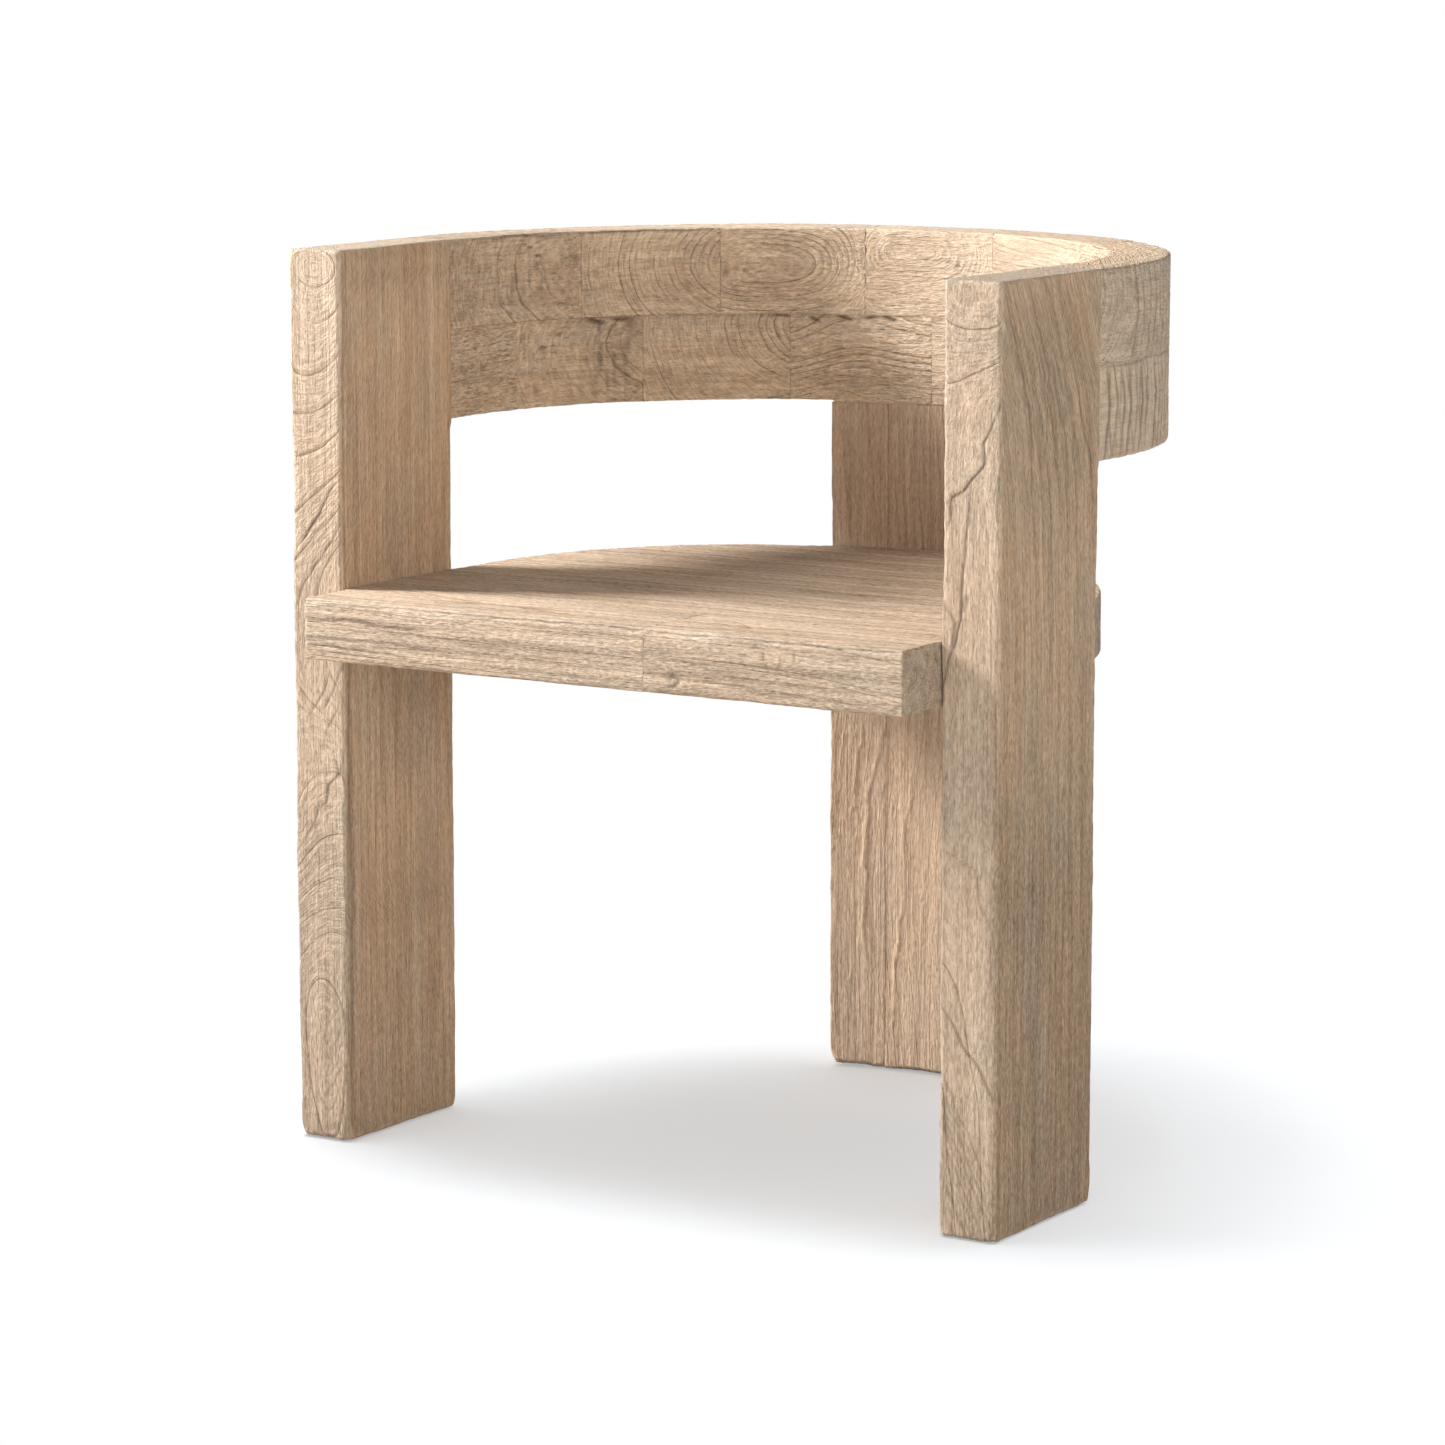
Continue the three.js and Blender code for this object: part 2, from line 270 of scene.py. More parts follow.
@dataclass
class Grain:
    """Where a board lay in its log, and how its surface has worn.

    pith holds (share of the length, across, up): where the log's centre runs, from the board's middle.
    knots are (place, reach, lift), pits are (place, reach), saw_marks are (place, reach, pitch), shades
    are (place, reach, change of tone), and cracks and raised cords are (axis, sign, path, width, depth).
    sweep is (place along, up), a line that the fibres follow. Lengths and places are in millimetres, in
    the board's own directions. The other numbers are strengths, most of them from 0 to 1.
    """

    pith: list
    # Width of a growth ring
    ring: float = 2.0
    # How deep the rings are brushed out, and how far they stray from circles
    relief: float = 1.0
    warp: float = 1.0
    # How few of the rings are strong. Or only each ring of this count is strong
    few: float = 2.5
    strong_every: int = 0
    # 1 where late wood stands proud, 0 where each ring sinks towards it
    proud: float = 0.0
    rough: float = 1.0
    pitted: float = 0.3
    # How much of the rings shows on a leg's broad sides
    flank: float = 1.0
    # Changes of tone: all over, from end to end, greyed on the outer side, and painted light that makes
    # the sides facing the key lamps paler
    tone: float = 0.0
    fade: float = 0.0
    outer_grey: float = 0.0
    bleach: float = 0.0
    # How smooth the finest texture is
    calm: float = 0.0
    # How open the glued joints are, along the board and at its ends
    seam: float = 0.12
    end_seam: float = 0.12
    # How chipped the edges are, and how much rounder they are near the floor
    chips: float = 1.0
    foot: float = 0.8
    knots: tuple = ()
    pits: tuple = ()
    saw_marks: tuple = ()
    shades: tuple = ()
    cracks: tuple = ()
    cords: tuple = ()
    sweep: tuple = ((0, 0), (1, 0))


def ring_distance(local, facing, length, grain, seed):
    """How far each point lies from the pith, how far apart the rings come out on the surface there, and
    how far they run across the grain, from 0 to 1."""
    share = local[:, 0] / length + 0.5
    places, across, up = np.array(grain.pith, float).T
    # The pith's place beside each point, and its slope there, over a short step to both sides
    step = 0.01
    centres = []
    slopes = []
    for values in (across, up):
        centres.append(curve_through(places, values, share))
        ahead = curve_through(places, values, share + step)
        behind = curve_through(places, values, share - step)
        slopes.append((ahead - behind) / (2 * step * length))
    aside = local[:, 1] - centres[0]
    above = local[:, 2] - centres[1]
    distance = np.hypot(aside, above)
    safe = np.maximum(distance, 0.01)
    climb = np.stack(
        [-(slopes[0] * aside + slopes[1] * above) / safe, aside / safe, above / safe], axis=1
    )
    flat = climb - np.sum(climb * facing, axis=1)[:, None] * facing
    steep = np.linalg.norm(flat, axis=1)
    spacing = grain.ring / np.maximum(steep, 0.02)
    cross = ramp(np.abs(flat[:, 0]) / np.maximum(steep, 0.02), 0.25, 0.7) * ramp(steep, 0.05, 0.25)
    # Real rings are never true circles
    distance = distance + grain.warp * (
        3.0 * noise(local, (150, 60, 60), seed)
        + 1.3 * noise(local, (46, 18, 18), seed + 1)
        + 0.4 * noise(local, (11, 7, 7), seed + 2)
    )
    for place, reach, lift in grain.knots:
        gap = (local - np.array(place)) / np.array(reach)
        distance = distance + lift * np.exp(-np.sum(gap * gap, axis=1))
    return distance, spacing, cross


def path_distance(flat, path):
    """The distance of flat points from a broken line, and how far along it the nearest point is."""
    best = np.full(len(flat), np.inf)
    along = np.zeros(len(flat))
    path = np.asarray(path, float)
    for i, (start, end) in enumerate(zip(path[:-1], path[1:])):
        run = end - start
        part = np.clip(((flat - start) @ run) / (run @ run), 0, 1)
        gap = np.linalg.norm(flat - start - part[:, None] * run, axis=1)
        closer = gap < best
        best = np.where(closer, gap, best)
        along = np.where(closer, (i + part) / (len(path) - 1), along)
    return best, along


def patch(local, place, reach):
    """1 inside a patch of the board, and 0 outside."""
    gap = (local - np.array(place)) / np.array(reach)
    return np.exp(-np.sum(gap**4, axis=1))


def drawn_line(local, facing, line, seed):
    """How strongly a crack or a cord that is drawn along a given path shows at each point, from 0 to 1."""
    axis, sign, path, wide, deep = line
    flat = np.delete(local, axis, axis=1)
    wander = np.stack([noise(local, 13, seed + 20), noise(local, 13, seed + 21)], axis=1)
    gap, along = path_distance(flat + 1.6 * wander, path)
    on_side = ramp(sign * facing[:, axis], 0.3, 0.7)
    fade = np.sin(np.pi * np.clip(along, 0.03, 0.97)) ** 0.3
    return (1 - ramp(gap, 0.15 * wide, wide)) * on_side * fade * deep


def worn_surface(world, local, facing, length, grain, seed, wear):
    """How deep the surface is worn at each point, with the values that the material reads."""
    distance, spacing, cross = ring_distance(local, facing, length, grain, seed)
    turn = distance / grain.ring
    whole = np.floor(turn).astype(np.int64)
    phase = turn - whole
    cells = np.stack([whole, np.zeros_like(whole), np.zeros_like(whole)], axis=1)
    # Some rings are strong and most are weak, and each one fades in and out along its way
    force = 0.1 + 0.9 * hashed(cells, seed + 3) ** grain.few
    if grain.strong_every:
        force = np.where(whole % grain.strong_every == 1, 1.0, 0.35 * force)
    force = force * (0.4 + 0.6 * ramp(noise(local, (60, 26, 26), seed + 4), -0.8, 0.2))
    force = force * (1 - (1 - grain.flank) * ramp(np.abs(facing[:, 1]), 0.4, 0.8))
    # Each ring sinks slowly towards its line of late wood and ends there in a step up, or the line
    # itself stands proud as a cord
    rise = 1 - ramp(phase, RING_LINE, RING_LINE + 0.2)
    sink = np.where(phase < RING_LINE, (phase / RING_LINE) ** 2.2, rise)
    cord = 1 - np.exp(-(((phase - RING_LINE) / 0.17) ** 2))
    profile = (1 - grain.proud) * sink + grain.proud * cord
    shows = ramp(spacing, 2.6, 5.5)
    depth = wear.ring_relief / MM * grain.relief * force * profile * shows
    # Fibres torn up by the brush, and the stipple between them
    fibre = noise(local, (24, 3.0, 3.0), seed + 5)
    stipple = noise(local, (5.0, 3.2, 3.2), seed + 6)
    rough = grain.rough * (0.7 + 0.3 * noise(local, (60, 30, 30), seed + 13))
    depth += rough * (0.18 * (1 + fibre) + 0.3 * (1 + stipple))
    # Pits where soft wood fell out
    pit = ramp(noise(local, (8.0, 3.4, 3.4), seed + 7), 0.3, 0.75)
    pitted = grain.pitted * ramp(noise(local, (52, 24, 24), seed + 8), 0.4, 0.8)
    for place, reach in grain.pits:
        pitted = np.maximum(pitted, 1.4 * patch(local, place, reach))
    dark = pit * pitted
    depth += 0.6 * dark
    # Marks of a coarse saw across the grain
    for place, reach, pitch in grain.saw_marks:
        strokes = ramp(noise(local, (0.55 * pitch, 60, 26), seed + 9), -0.1, 0.6)
        marks = patch(local, place, reach) * strokes * (0.6 + 0.4 * noise(local, (7, 9, 9), seed + 10))
        depth += 0.9 * marks
        dark = np.maximum(dark, 0.7 * marks)
    # The whole face is no longer flat
    depth += 0.4 * (1 + noise(world, 110, 11)) + 0.22 * (1 + noise(world, 34, 12))
    crack = np.zeros(len(local))
    for line in grain.cracks:
        crack = np.maximum(crack, drawn_line(local, facing, line, seed))
    cord = np.zeros(len(local))
    for line in grain.cords:
        cord = np.maximum(cord, drawn_line(local, facing, line, seed))
    depth = np.maximum(depth + 0.8 * crack - cord, 0.05)
    tone = grain.tone + grain.fade * local[:, 0] / length
    for place, reach, change in grain.shades:
        tone += change * patch(local, place, reach)
    grey = grain.outer_grey * ramp(-facing[:, 1], 0.4, 0.8)
    return depth, {
        "ring": turn, "force": force, "crack": crack, "pits": dark, "cord": cord, "tone": tone,
        "grey": grey, "layers": distance, "cross": cross, "calm": np.full(len(local), grain.calm),
    }


# Board meshes


def mesh_lines(low, high, step):
    """Mesh lines from low to high, with extra ones close to both ends, where the edges are round."""
    close = np.array([0.35, 0.9, 1.7, 2.8, 4.2])
    close = close[close < (high - low) / 4]
    count = max(2, round((high - low - 2 * close[-1]) / step))
    middle = np.linspace(low + close[-1], high - close[-1], count + 1)
    return np.concatenate([[low], low + close[:-1], middle, high - close[:-1][::-1], [high]])


def box_surface(lines):
    """The points and quads of a box's surface, with its mesh lines given along each axis."""
    counts = [len(line) for line in lines]
    index = np.stack(np.meshgrid(*[np.arange(n) for n in counts], indexing="ij"), axis=-1)
    last = np.array(counts) - 1
    on_surface = np.any((index == 0) | (index == last), axis=-1)
    ids = np.full(counts, -1)
    ids[on_surface] = np.arange(np.count_nonzero(on_surface))
    points = np.stack([lines[axis][index[..., axis][on_surface]] for axis in range(3)], axis=1)
    quads = []
    sides = []
    for axis in range(3):
        for end in (0, 1):
            sheet = np.take(ids, last[axis] if end else 0, axis=axis)
            corners = [sheet[:-1, :-1], sheet[1:, :-1], sheet[1:, 1:], sheet[:-1, 1:]]
            quad = np.stack([corner.ravel() for corner in corners], axis=1)
            if (end == 1) == (axis == 1):
                quad = quad[:, ::-1]
            quads.append(quad)
            sides.append(np.full(len(quad), 2 * axis + end))
    return points, np.concatenate(quads), np.concatenate(sides)


def bake_layout(points, quads, sides):
    """Flat places for the six sides of a box, one beside the other, in true proportion."""
    margin = 6.0
    places = np.zeros((len(quads), 4, 2))
    cursor = margin
    tallest = 0.0
    for side in range(6):
        chosen = sides == side
        axis = side // 2
        flat = np.delete(points, axis, axis=1)[quads[chosen]]
        if np.ptp(flat[..., 0]) > np.ptp(flat[..., 1]):
            flat = flat[..., ::-1]
        flat = flat - flat.reshape(-1, 2).min(axis=0)
        places[chosen] = flat + np.array([cursor, margin])
        cursor += np.ptp(flat[..., 0]) + margin
        tallest = max(tallest, np.ptp(flat[..., 1]) + 2 * margin)
    return places / max(cursor, tallest)


def straight(points):
    """A board that lies as it is drawn."""
    return points


def round_rail(points):
    """Bends a board round the rail: first axis along its middle line, second across, third up."""
    along, across, up = points.T
    bend = math.pi * MIDDLE_RADIUS
    angle = np.clip((along - STRAIGHT_RUN) / MIDDLE_RADIUS, 0, math.pi)
    radius = MIDDLE_RADIUS + across
    past = np.maximum(along - STRAIGHT_RUN - bend, 0)
    y = BEND_Y + radius * np.sin(angle) + np.minimum(along - STRAIGHT_RUN, 0) - past
    return np.stack([radius * np.cos(angle), y, up], axis=1)


def round_stave(points):
    """Bends a board to the ring's curve while its sides stay parallel."""
    x, across, up = points.T
    y = BEND_Y + np.sqrt((MIDDLE_RADIUS + across) ** 2 - x**2)
    return np.stack([x, y, up], axis=1)


def round_seat_end(points):
    """Draws a seat board's ends in to the seat's round outline."""
    x, y, up = points.T
    reach = np.sqrt(np.maximum(SEAT_HALF**2 - np.maximum(y - BEND_Y, 0) ** 2, 0))
    return np.stack([x / SEAT_HALF * reach, y, up], axis=1)


def round_seat_back(points):
    """Bends the last seat board's back edge to the seat's round outline."""
    x, inward, up = points.T
    back = BEND_Y + np.sqrt(np.maximum(SEAT_HALF**2 - x**2, 0))
    y = LAST_BOARD_FRONT + (back - LAST_BOARD_FRONT) * inward / LAST_BOARD_DEPTH
    return np.stack([x, y, up], axis=1)


# Each side of a box: the axis that it crosses, and its end of that axis
FACES = {"x-": (0, -1), "x+": (0, 1), "y-": (1, -1), "y+": (1, 1), "z-": (2, -1), "z+": (2, 1)}
# Half the width of the groove along a glued joint
GROOVE_HALF = 0.8


def round_edges(points, low, high, radius, open_sides):
    """Rounds the box's edges. open_sides tells how open each side is: 0 where it is glued, 1 where it
    is free, and more than 1 where its edges are rounder."""
    core = points.copy()
    for name, open_share in open_sides.items():
        axis, sign = FACES[name]
        reach = radius * open_share
        if sign < 0:
            core[:, axis] = np.maximum(core[:, axis], low[axis] + reach)
        else:
            core[:, axis] = np.minimum(core[:, axis], high[axis] - reach)
    out = points - core
    size = np.linalg.norm(out, axis=1)
    largest = np.abs(out).max(axis=1)
    safe = np.where(size > 0, size, 1)
    rounded = core + out * (largest / safe)[:, None]
    return rounded, out / safe[:, None], np.minimum(largest / radius, 1)


def worn_radius(world, grain, seed, wear):
    """How far the edges are rounded at each point: unevenly, and more where chipped and near the floor."""
    worn = 1 + 0.3 * noise(world, 45, seed + 30) + 0.3 * noise(world, 12, seed + 31)
    chip = ramp(noise(world, 15, seed + 32), 0.6, 1.0) * grain.chips * wear.edge_chip / MM
    foot = 1 + grain.foot * (1 - ramp(world[:, 2], 2, 16))
    return wear.edge_radius / MM * worn * foot + chip


def joint_groove(points, world, low, high, open_shares, grain, seed):
    """How much of the fine groove along a glued joint shows at each point. It closes here and there."""
    groove = np.zeros(len(points))
    closed = 0.55 + 0.45 * noise(world, 18, seed + 33)
    for side, share in open_shares.items():
        axis, sign = FACES[side]
        gap = (high[axis] - points[:, axis]) if sign > 0 else (points[:, axis] - low[axis])
        worn_open = grain.end_seam if axis == 0 else grain.seam
        across = np.exp(-((gap / GROOVE_HALF) ** 2))
        groove = np.maximum(groove, (1 - share) * across * closed * worn_open)
    return groove


def board_object(name, points, quads, layout, values, grain_place):
    """Makes a board's object, with the values that its material reads at each point."""
    mesh = bpy.data.meshes.new(name)
    mesh.from_pydata((points * MM).tolist(), [], quads.tolist())
    for key, value in values.items():
        mesh.attributes.new(key, "FLOAT", "POINT").data.foreach_set("value", value.astype(np.float32))
    mesh.attributes.new("grain", "FLOAT_VECTOR", "POINT").data.foreach_set(
        "vector", grain_place.astype(np.float32).ravel()
    )
    mesh.uv_layers.new(name="OFBake").data.foreach_set("uv", layout.astype(np.float32).ravel())
    mesh.shade_smooth()
    mesh.validate()
    obj = bpy.data.objects.new(name, mesh)
    bpy.context.scene.collection.objects.link(obj)
    return obj


def make_board(name, low, high, bend, grain, seed, wear, open_sides, steps, axes=None):
    """Makes one board with its relief, and returns its object."""
    lines = [mesh_lines(low[axis], high[axis], steps[axis]) for axis in range(3)]
    points, quads, sides = box_surface(lines)
    world = bend(points)
    radius = worn_radius(world, grain, seed, wear)
    open_shares = {}
    for side in FACES:
        share = open_sides.get(side, 1.0)
        open_shares[side] = share(world) if callable(share) else np.full(len(points), float(share))
    rounded, facing, firm = round_edges(points, low, high, radius, open_shares)
    world = bend(rounded)
    centre = bend(((low + high) / 2)[None, :])[0]
    if axes is None:
        axes = board_axes(low, high, bend)
    local = (world - centre) @ axes.T
    length = np.ptp(local[:, 0])
    outward = bend(rounded + facing) - world
    normals = outward @ axes.T
    depth, values = worn_surface(world, local, normals, length, grain, seed, wear)
    groove = joint_groove(points, world, low, high, open_shares, grain, seed)
    depth += wear.seam_depth / MM * groove
    relieved = bend(rounded - facing * (depth * firm)[:, None])
    if signed_volume(relieved, quads) < 0:
        quads = quads[:, ::-1]
    # Edges are paler where they are rounded, and most where they are chipped
    bulge = np.linalg.norm(points - rounded, axis=1)
    edge = wear.edge_radius / MM
    bruised = bulge / (0.3 * edge) + ramp(radius, 1.2 * edge, 2 * edge) * (bulge > 0)
    values["crack"] = np.maximum(values["crack"], 0.8 * groove)
    values["wear"] = np.clip(bruised, 0, 1) * min(1, grain.chips)
    values["end"] = ramp(np.abs(normals[:, 0]), 0.6, 0.9)
    # Painted light: paler on the sides that face the key lamps, less where a board's own share takes some
    # back
    values["bleach"] = ramp(outward @ PAINTED_LIGHT_SIDE, 0.0, 0.95) + grain.bleach
    # The fibres follow the sweep, and each board reads another part of the noise
    swept = np.interp(local[:, 0], *np.array(grain.sweep, float).T)
    grain_place = local + np.array([seed * 37.0, 0, 0]) - swept[:, None] * np.array([0, 0, 1.0])
    layout = bake_layout(points, quads, sides)
    return board_object(name, relieved, quads, layout, values, grain_place)


def signed_volume(points, quads):
    """Above zero when the quads face outwards."""
    middle = points.mean(axis=0)
    a, b, c, d = [points[quads[:, i]] - middle for i in range(4)]
    return np.sum(np.cross(a, b) * c) + np.sum(np.cross(a, c) * d)


def board_axes(low, high, bend):
    """The board's own directions: along its longest side, across it and up."""
    middle = (low + high) / 2
    longest = int(np.argmax(high - low))
    step = np.zeros(3)
    step[longest] = 1
    along = (bend((middle + step)[None, :]) - bend((middle - step)[None, :]))[0] / 2
    along = along / np.linalg.norm(along)
    up = np.array([0.0, 0.0, 1.0]) if abs(along[2]) < 0.5 else np.array([0.0, 1.0, 0.0])
    across = np.cross(up, along)
    across = across / np.linalg.norm(across)
    return np.stack([along, across, np.cross(along, across)])


def finish_board(obj, node, material):
    """Puts a board in the place of its fixed node."""
    obj.data.materials.append(material)
    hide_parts(node)
    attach(obj, "root")


# Materials


def linear(hex_colour):
    """An sRGB hex colour as linear red, green, blue and alpha."""
    parts = [int(hex_colour[i : i + 2], 16) / 255 for i in (1, 3, 5)]
    return tuple(c / 12.92 if c <= 0.04045 else ((c + 0.055) / 1.055) ** 2.4 for c in parts) + (1.0,)


def add(tree, kind, settings=None, inputs=None):
    """Adds a node, with its settings and its inputs. An input is a value, a socket to link from, or a
    node whose first output it is linked from."""
    made = tree.nodes.new(kind)
    for name, value in (settings or {}).items():
        setattr(made, name, value)
    for key, value in (inputs or {}).items():
        source = value.outputs[0] if isinstance(value, bpy.types.Node) else value
        if isinstance(source, bpy.types.NodeSocket):
            tree.links.new(source, made.inputs[key])
        else:
            made.inputs[key].default_value = source
    return made


def blank_material(name):
    """A material that has no nodes yet, and its node tree."""
    material = bpy.data.materials.new(name)
    material.use_nodes = True
    material.node_tree.nodes.clear()
    return material, material.node_tree


def seen_directly(tree):
    """1 for a ray from the camera, also one that went by a mirror or through glass, and 0 for others."""
    ray = add(tree, "ShaderNodeLightPath")
    seen = ray.outputs["Is Camera Ray"]
    for kind in ("Is Glossy Ray", "Is Transmission Ray"):
        seen = add(tree, "ShaderNodeMath", {"operation": "MAXIMUM"}, {0: seen, 1: ray.outputs[kind]})
    return seen


# What the warm and the pale streaks of a board reflect, as shares of its own tone, and what a crack
# reflects, as a share of its late wood's tone
WARM_SHARES = (0.84, 0.73, 0.62)
PALE_SHARES = (1.14, 1.17, 1.22)
CRACK_SHARE = 0.35


def wire_brushed_elm(name, tone_hex, line_hex, line_share, grit, figure, stretch, streaks):
    """Reclaimed elm, wire-brushed and left dry: pale, matt, with torn ring lines and open pores."""
    tones = bpy.context.scene.chair.tones
    wear = bpy.context.scene.chair.wear
    material, tree = blank_material(name)
    value = {}
    for key in (
        "ring", "force", "crack", "cord", "pits", "wear", "end", "bleach", "tone", "grey", "layers",
        "cross", "calm",
    ):
        value[key] = add(tree, "ShaderNodeAttribute", {"attribute_name": key}).outputs["Fac"]
    grain = add(tree, "ShaderNodeAttribute", {"attribute_name": "grain"}).outputs["Vector"]

    # Noise drawn out along the grain. The sizes are millimetres: along, across, across. Real pores
    # are 0.3 mm wide and are drawn about twice as wide, so that they show
    split = add(tree, "ShaderNodeSeparateXYZ", None, {0: grain})
    aside = add(tree, "ShaderNodeMath", {"operation": "ADD"}, {0: split.outputs[1], 1: split.outputs[2]})
    layers = add(
        tree, "ShaderNodeCombineXYZ", None, {0: split.outputs[0], 1: aside, 2: value["layers"]}
    )
    looks = {}
    for key, source, size, detail, low, high in (
        ("fibre", grain, (30.0 * stretch, 1.9, 1.9), 3.0, 0.32, 0.68),
        ("pore", grain, (7.0, 0.8, 0.8), 1.0, 0.58, 0.72),
        ("speck", grain, (4.5, 1.2, 1.2), 2.0, 0.36, 0.64),
        ("stipple", grain, (6.5, 2.2, 2.2), 3.0, 0.34, 0.66),
        ("grit", grain, (22.0 * stretch, 4.2, 4.2), 2.0, 0.34, 0.66),
        ("cloud", grain, (120.0, 40.0, 40.0), 3.0, 0.38, 0.64),
        ("mottle", grain, (30.0, 14.0, 14.0), 3.0, 0.4, 0.72),
        ("blush", grain, (80.0, 30.0, 30.0), 2.0, 0.45, 0.7),
        ("streak", grain, (240.0, 8.0, 8.0), 4.0, 0.35, 0.65),
        ("thread", grain, (130.0, 2.2, 2.2), 2.0, 0.5, 0.72),
        ("hatch", layers, (11.0, 11.0, 1.5), 2.0, 0.34, 0.66),
    ):
        scale = tuple(1 / part for part in size)
        placed = add(tree, "ShaderNodeVectorMath", {"operation": "MULTIPLY"}, {0: source, 1: scale})
        texture = add(
            tree, "ShaderNodeTexNoise", None,
            {"Vector": placed, "Scale": 1.0, "Detail": detail, "Roughness": 0.6},
        )
        looks[key] = add(
            tree, "ShaderNodeMapRange", None, {0: texture.outputs["Fac"], 1: low, 2: high, 3: 0.0, 4: 1.0}
        )

    # Each growth ring deepens towards its late wood, a thin line, and ends there in a step
    phase = add(tree, "ShaderNodeMath", {"operation": "FRACT"}, {0: value["ring"]})
    rings = {}
    for key, stops in (
        ("hollow", ((0.0, 0.0), (0.25, 0.12), (0.42, 0.55), (RING_LINE, 1.0), (0.57, 0.0), (1.0, 0.0))),
        ("line", ((0.0, 0.0), (0.36, 0.1), (0.45, 0.8), (0.52, 1.0), (0.58, 0.0), (1.0, 0.0))),
    ):
        profile = add(tree, "ShaderNodeValToRGB", None, {"Fac": phase})
        elements = profile.color_ramp.elements
        elements.remove(elements[1])
        for place, height in stops:
            elements.new(place).color = (height, height, height, 1)
        elements.remove(elements[0])
        rings[key] = add(
            tree, "ShaderNodeMath", {"operation": "MULTIPLY"}, {0: profile, 1: value["force"]}
        )
    # Fibres break the line up
    broken = add(tree, "ShaderNodeMapRange", None, {0: looks["fibre"], 3: 1.0, 4: 0.45})
    line = add(tree, "ShaderNodeMath", {"operation": "MULTIPLY"}, {0: rings["line"], 1: broken})

    # The colour is laid on in coats: where each one lies, how strong it is and its own colour
    base = linear(tone_hex)
    dark = linear(tones.dark)
    grey = linear(tones.grey)
    deep = tuple(part * CRACK_SHARE for part in dark[:3]) + (1,)
    warm = tuple(part * share for part, share in zip(base, WARM_SHARES)) + (1,)
    colour = tuple(min(1, part * share) for part, share in zip(base, PALE_SHARES)) + (1,)
    for source, strength, coat in (
        (looks["streak"], 0.55, warm),
        (looks["fibre"], 0.35, warm),
        (looks["cloud"], 0.35, grey),
        (looks["blush"], 0.3, linear(tones.blush)),
        (looks["mottle"], 0.1 * grit, dark),
        # Painted light: paler on the sides that face the key lamps
        (value["bleach"], 0.62, linear(tones.painted_light_tone)),
        (looks["thread"], 0.26, dark),
        (rings["hollow"], 0.45, warm),
        (line, line_share, linear(line_hex)),
        (looks["pore"], 0.3, dark),
        (value["cord"], 0.6, linear(tones.ridge)),
        (value["pits"], 0.5, deep),
        (value["wear"], 0.36, linear(tones.worn)),
        (value["end"], 0.45, grey),
        (value["grey"], 1.0, grey),
        (value["crack"], 0.85, deep),
    ):
        share = add(tree, "ShaderNodeMath", {"operation": "MULTIPLY"}, {0: source, 1: strength})
        mixed = add(tree, "ShaderNodeMix", {"data_type": "RGBA"}, {0: share, 6: colour, 7: coat})
        colour = mixed.outputs[2]

    # The finest texture is lighter and darker by turns, so that the mean stays. Where rings cross the
    # grain it gives way to their layers, and on a calm board it is weaker
    crossing = add(tree, "ShaderNodeMath", {"operation": "MAXIMUM"}, {0: value["cross"], 1: figure})
    centred = add(tree, "ShaderNodeMath", {"operation": "SUBTRACT"}, {0: looks["hatch"], 1: 0.5})
    hatching = add(tree, "ShaderNodeMath", {"operation": "MULTIPLY"}, {0: centred, 1: crossing})
    uneven = add(tree, "ShaderNodeMath", {"operation": "SUBTRACT"}, {0: looks["streak"], 1: 0.5})
    left = add(tree, "ShaderNodeMapRange", None, {0: value["cross"], 3: 1.0, 4: 0.45})
    busy = add(tree, "ShaderNodeMath", {"operation": "SUBTRACT"}, {0: 1.0, 1: value["calm"]})
    fine = 0.43 * grit
    for texture, weight in ((looks["speck"], -0.38), (looks["stipple"], -0.3), (looks["grit"], -0.18)):
        fine = add(
            tree, "ShaderNodeMath", {"operation": "MULTIPLY_ADD"}, {0: texture, 1: weight * grit, 2: fine}
        )
    fine = add(tree, "ShaderNodeMath", {"operation": "MULTIPLY"}, {0: fine, 1: left})
    for texture, weight in ((hatching, -0.3), (uneven, -streaks)):
        fine = add(tree, "ShaderNodeMath", {"operation": "MULTIPLY_ADD"}, {0: texture, 1: weight, 2: fine})
    change = add(
        tree, "ShaderNodeMath", {"operation": "MULTIPLY_ADD"}, {0: fine, 1: busy, 2: value["tone"]}
    )
    light = add(tree, "ShaderNodeMath", {"operation": "ADD"}, {0: change, 1: 1.0})
    toned = add(tree, "ShaderNodeVectorMath", {"operation": "SCALE"}, {0: colour, "Scale": light})

    # Relief too fine for the mesh, as shares of its depth
    height = 0.0
    for texture, weight in (
        (looks["stipple"], -0.5 * grit),
        (looks["speck"], -0.25 * grit),
        (looks["grit"], -0.5 * grit),
        (looks["fibre"], -0.4),
        (looks["pore"], -0.3),
        (looks["thread"], -0.35),
        (hatching, -0.6),
        (rings["hollow"], -0.9),
    ):
        height = add(
            tree, "ShaderNodeMath", {"operation": "MULTIPLY_ADD"}, {0: texture, 1: weight, 2: height}
        )
    height = add(tree, "ShaderNodeMath", {"operation": "MULTIPLY"}, {0: height, 1: busy})
    bump = add(
        tree, "ShaderNodeBump", None, {"Strength": 1.0, "Distance": wear.fine_relief, "Height": height}
    )
    rough = add(tree, "ShaderNodeMapRange", None, {0: looks["stipple"], 3: 0.75, 4: 0.92})
    shader = add(
        tree, "ShaderNodeBsdfPrincipled", None,
        {"Base Color": toned, "Roughness": rough, "IOR": 1.5, "Specular IOR Level": 0.3, "Normal": bump},
    )
    add(tree, "ShaderNodeOutputMaterial", None, {"Surface": shader})
    return material


# Width of a growth ring in the tenons' wood
TENON_RING = 3 * MM


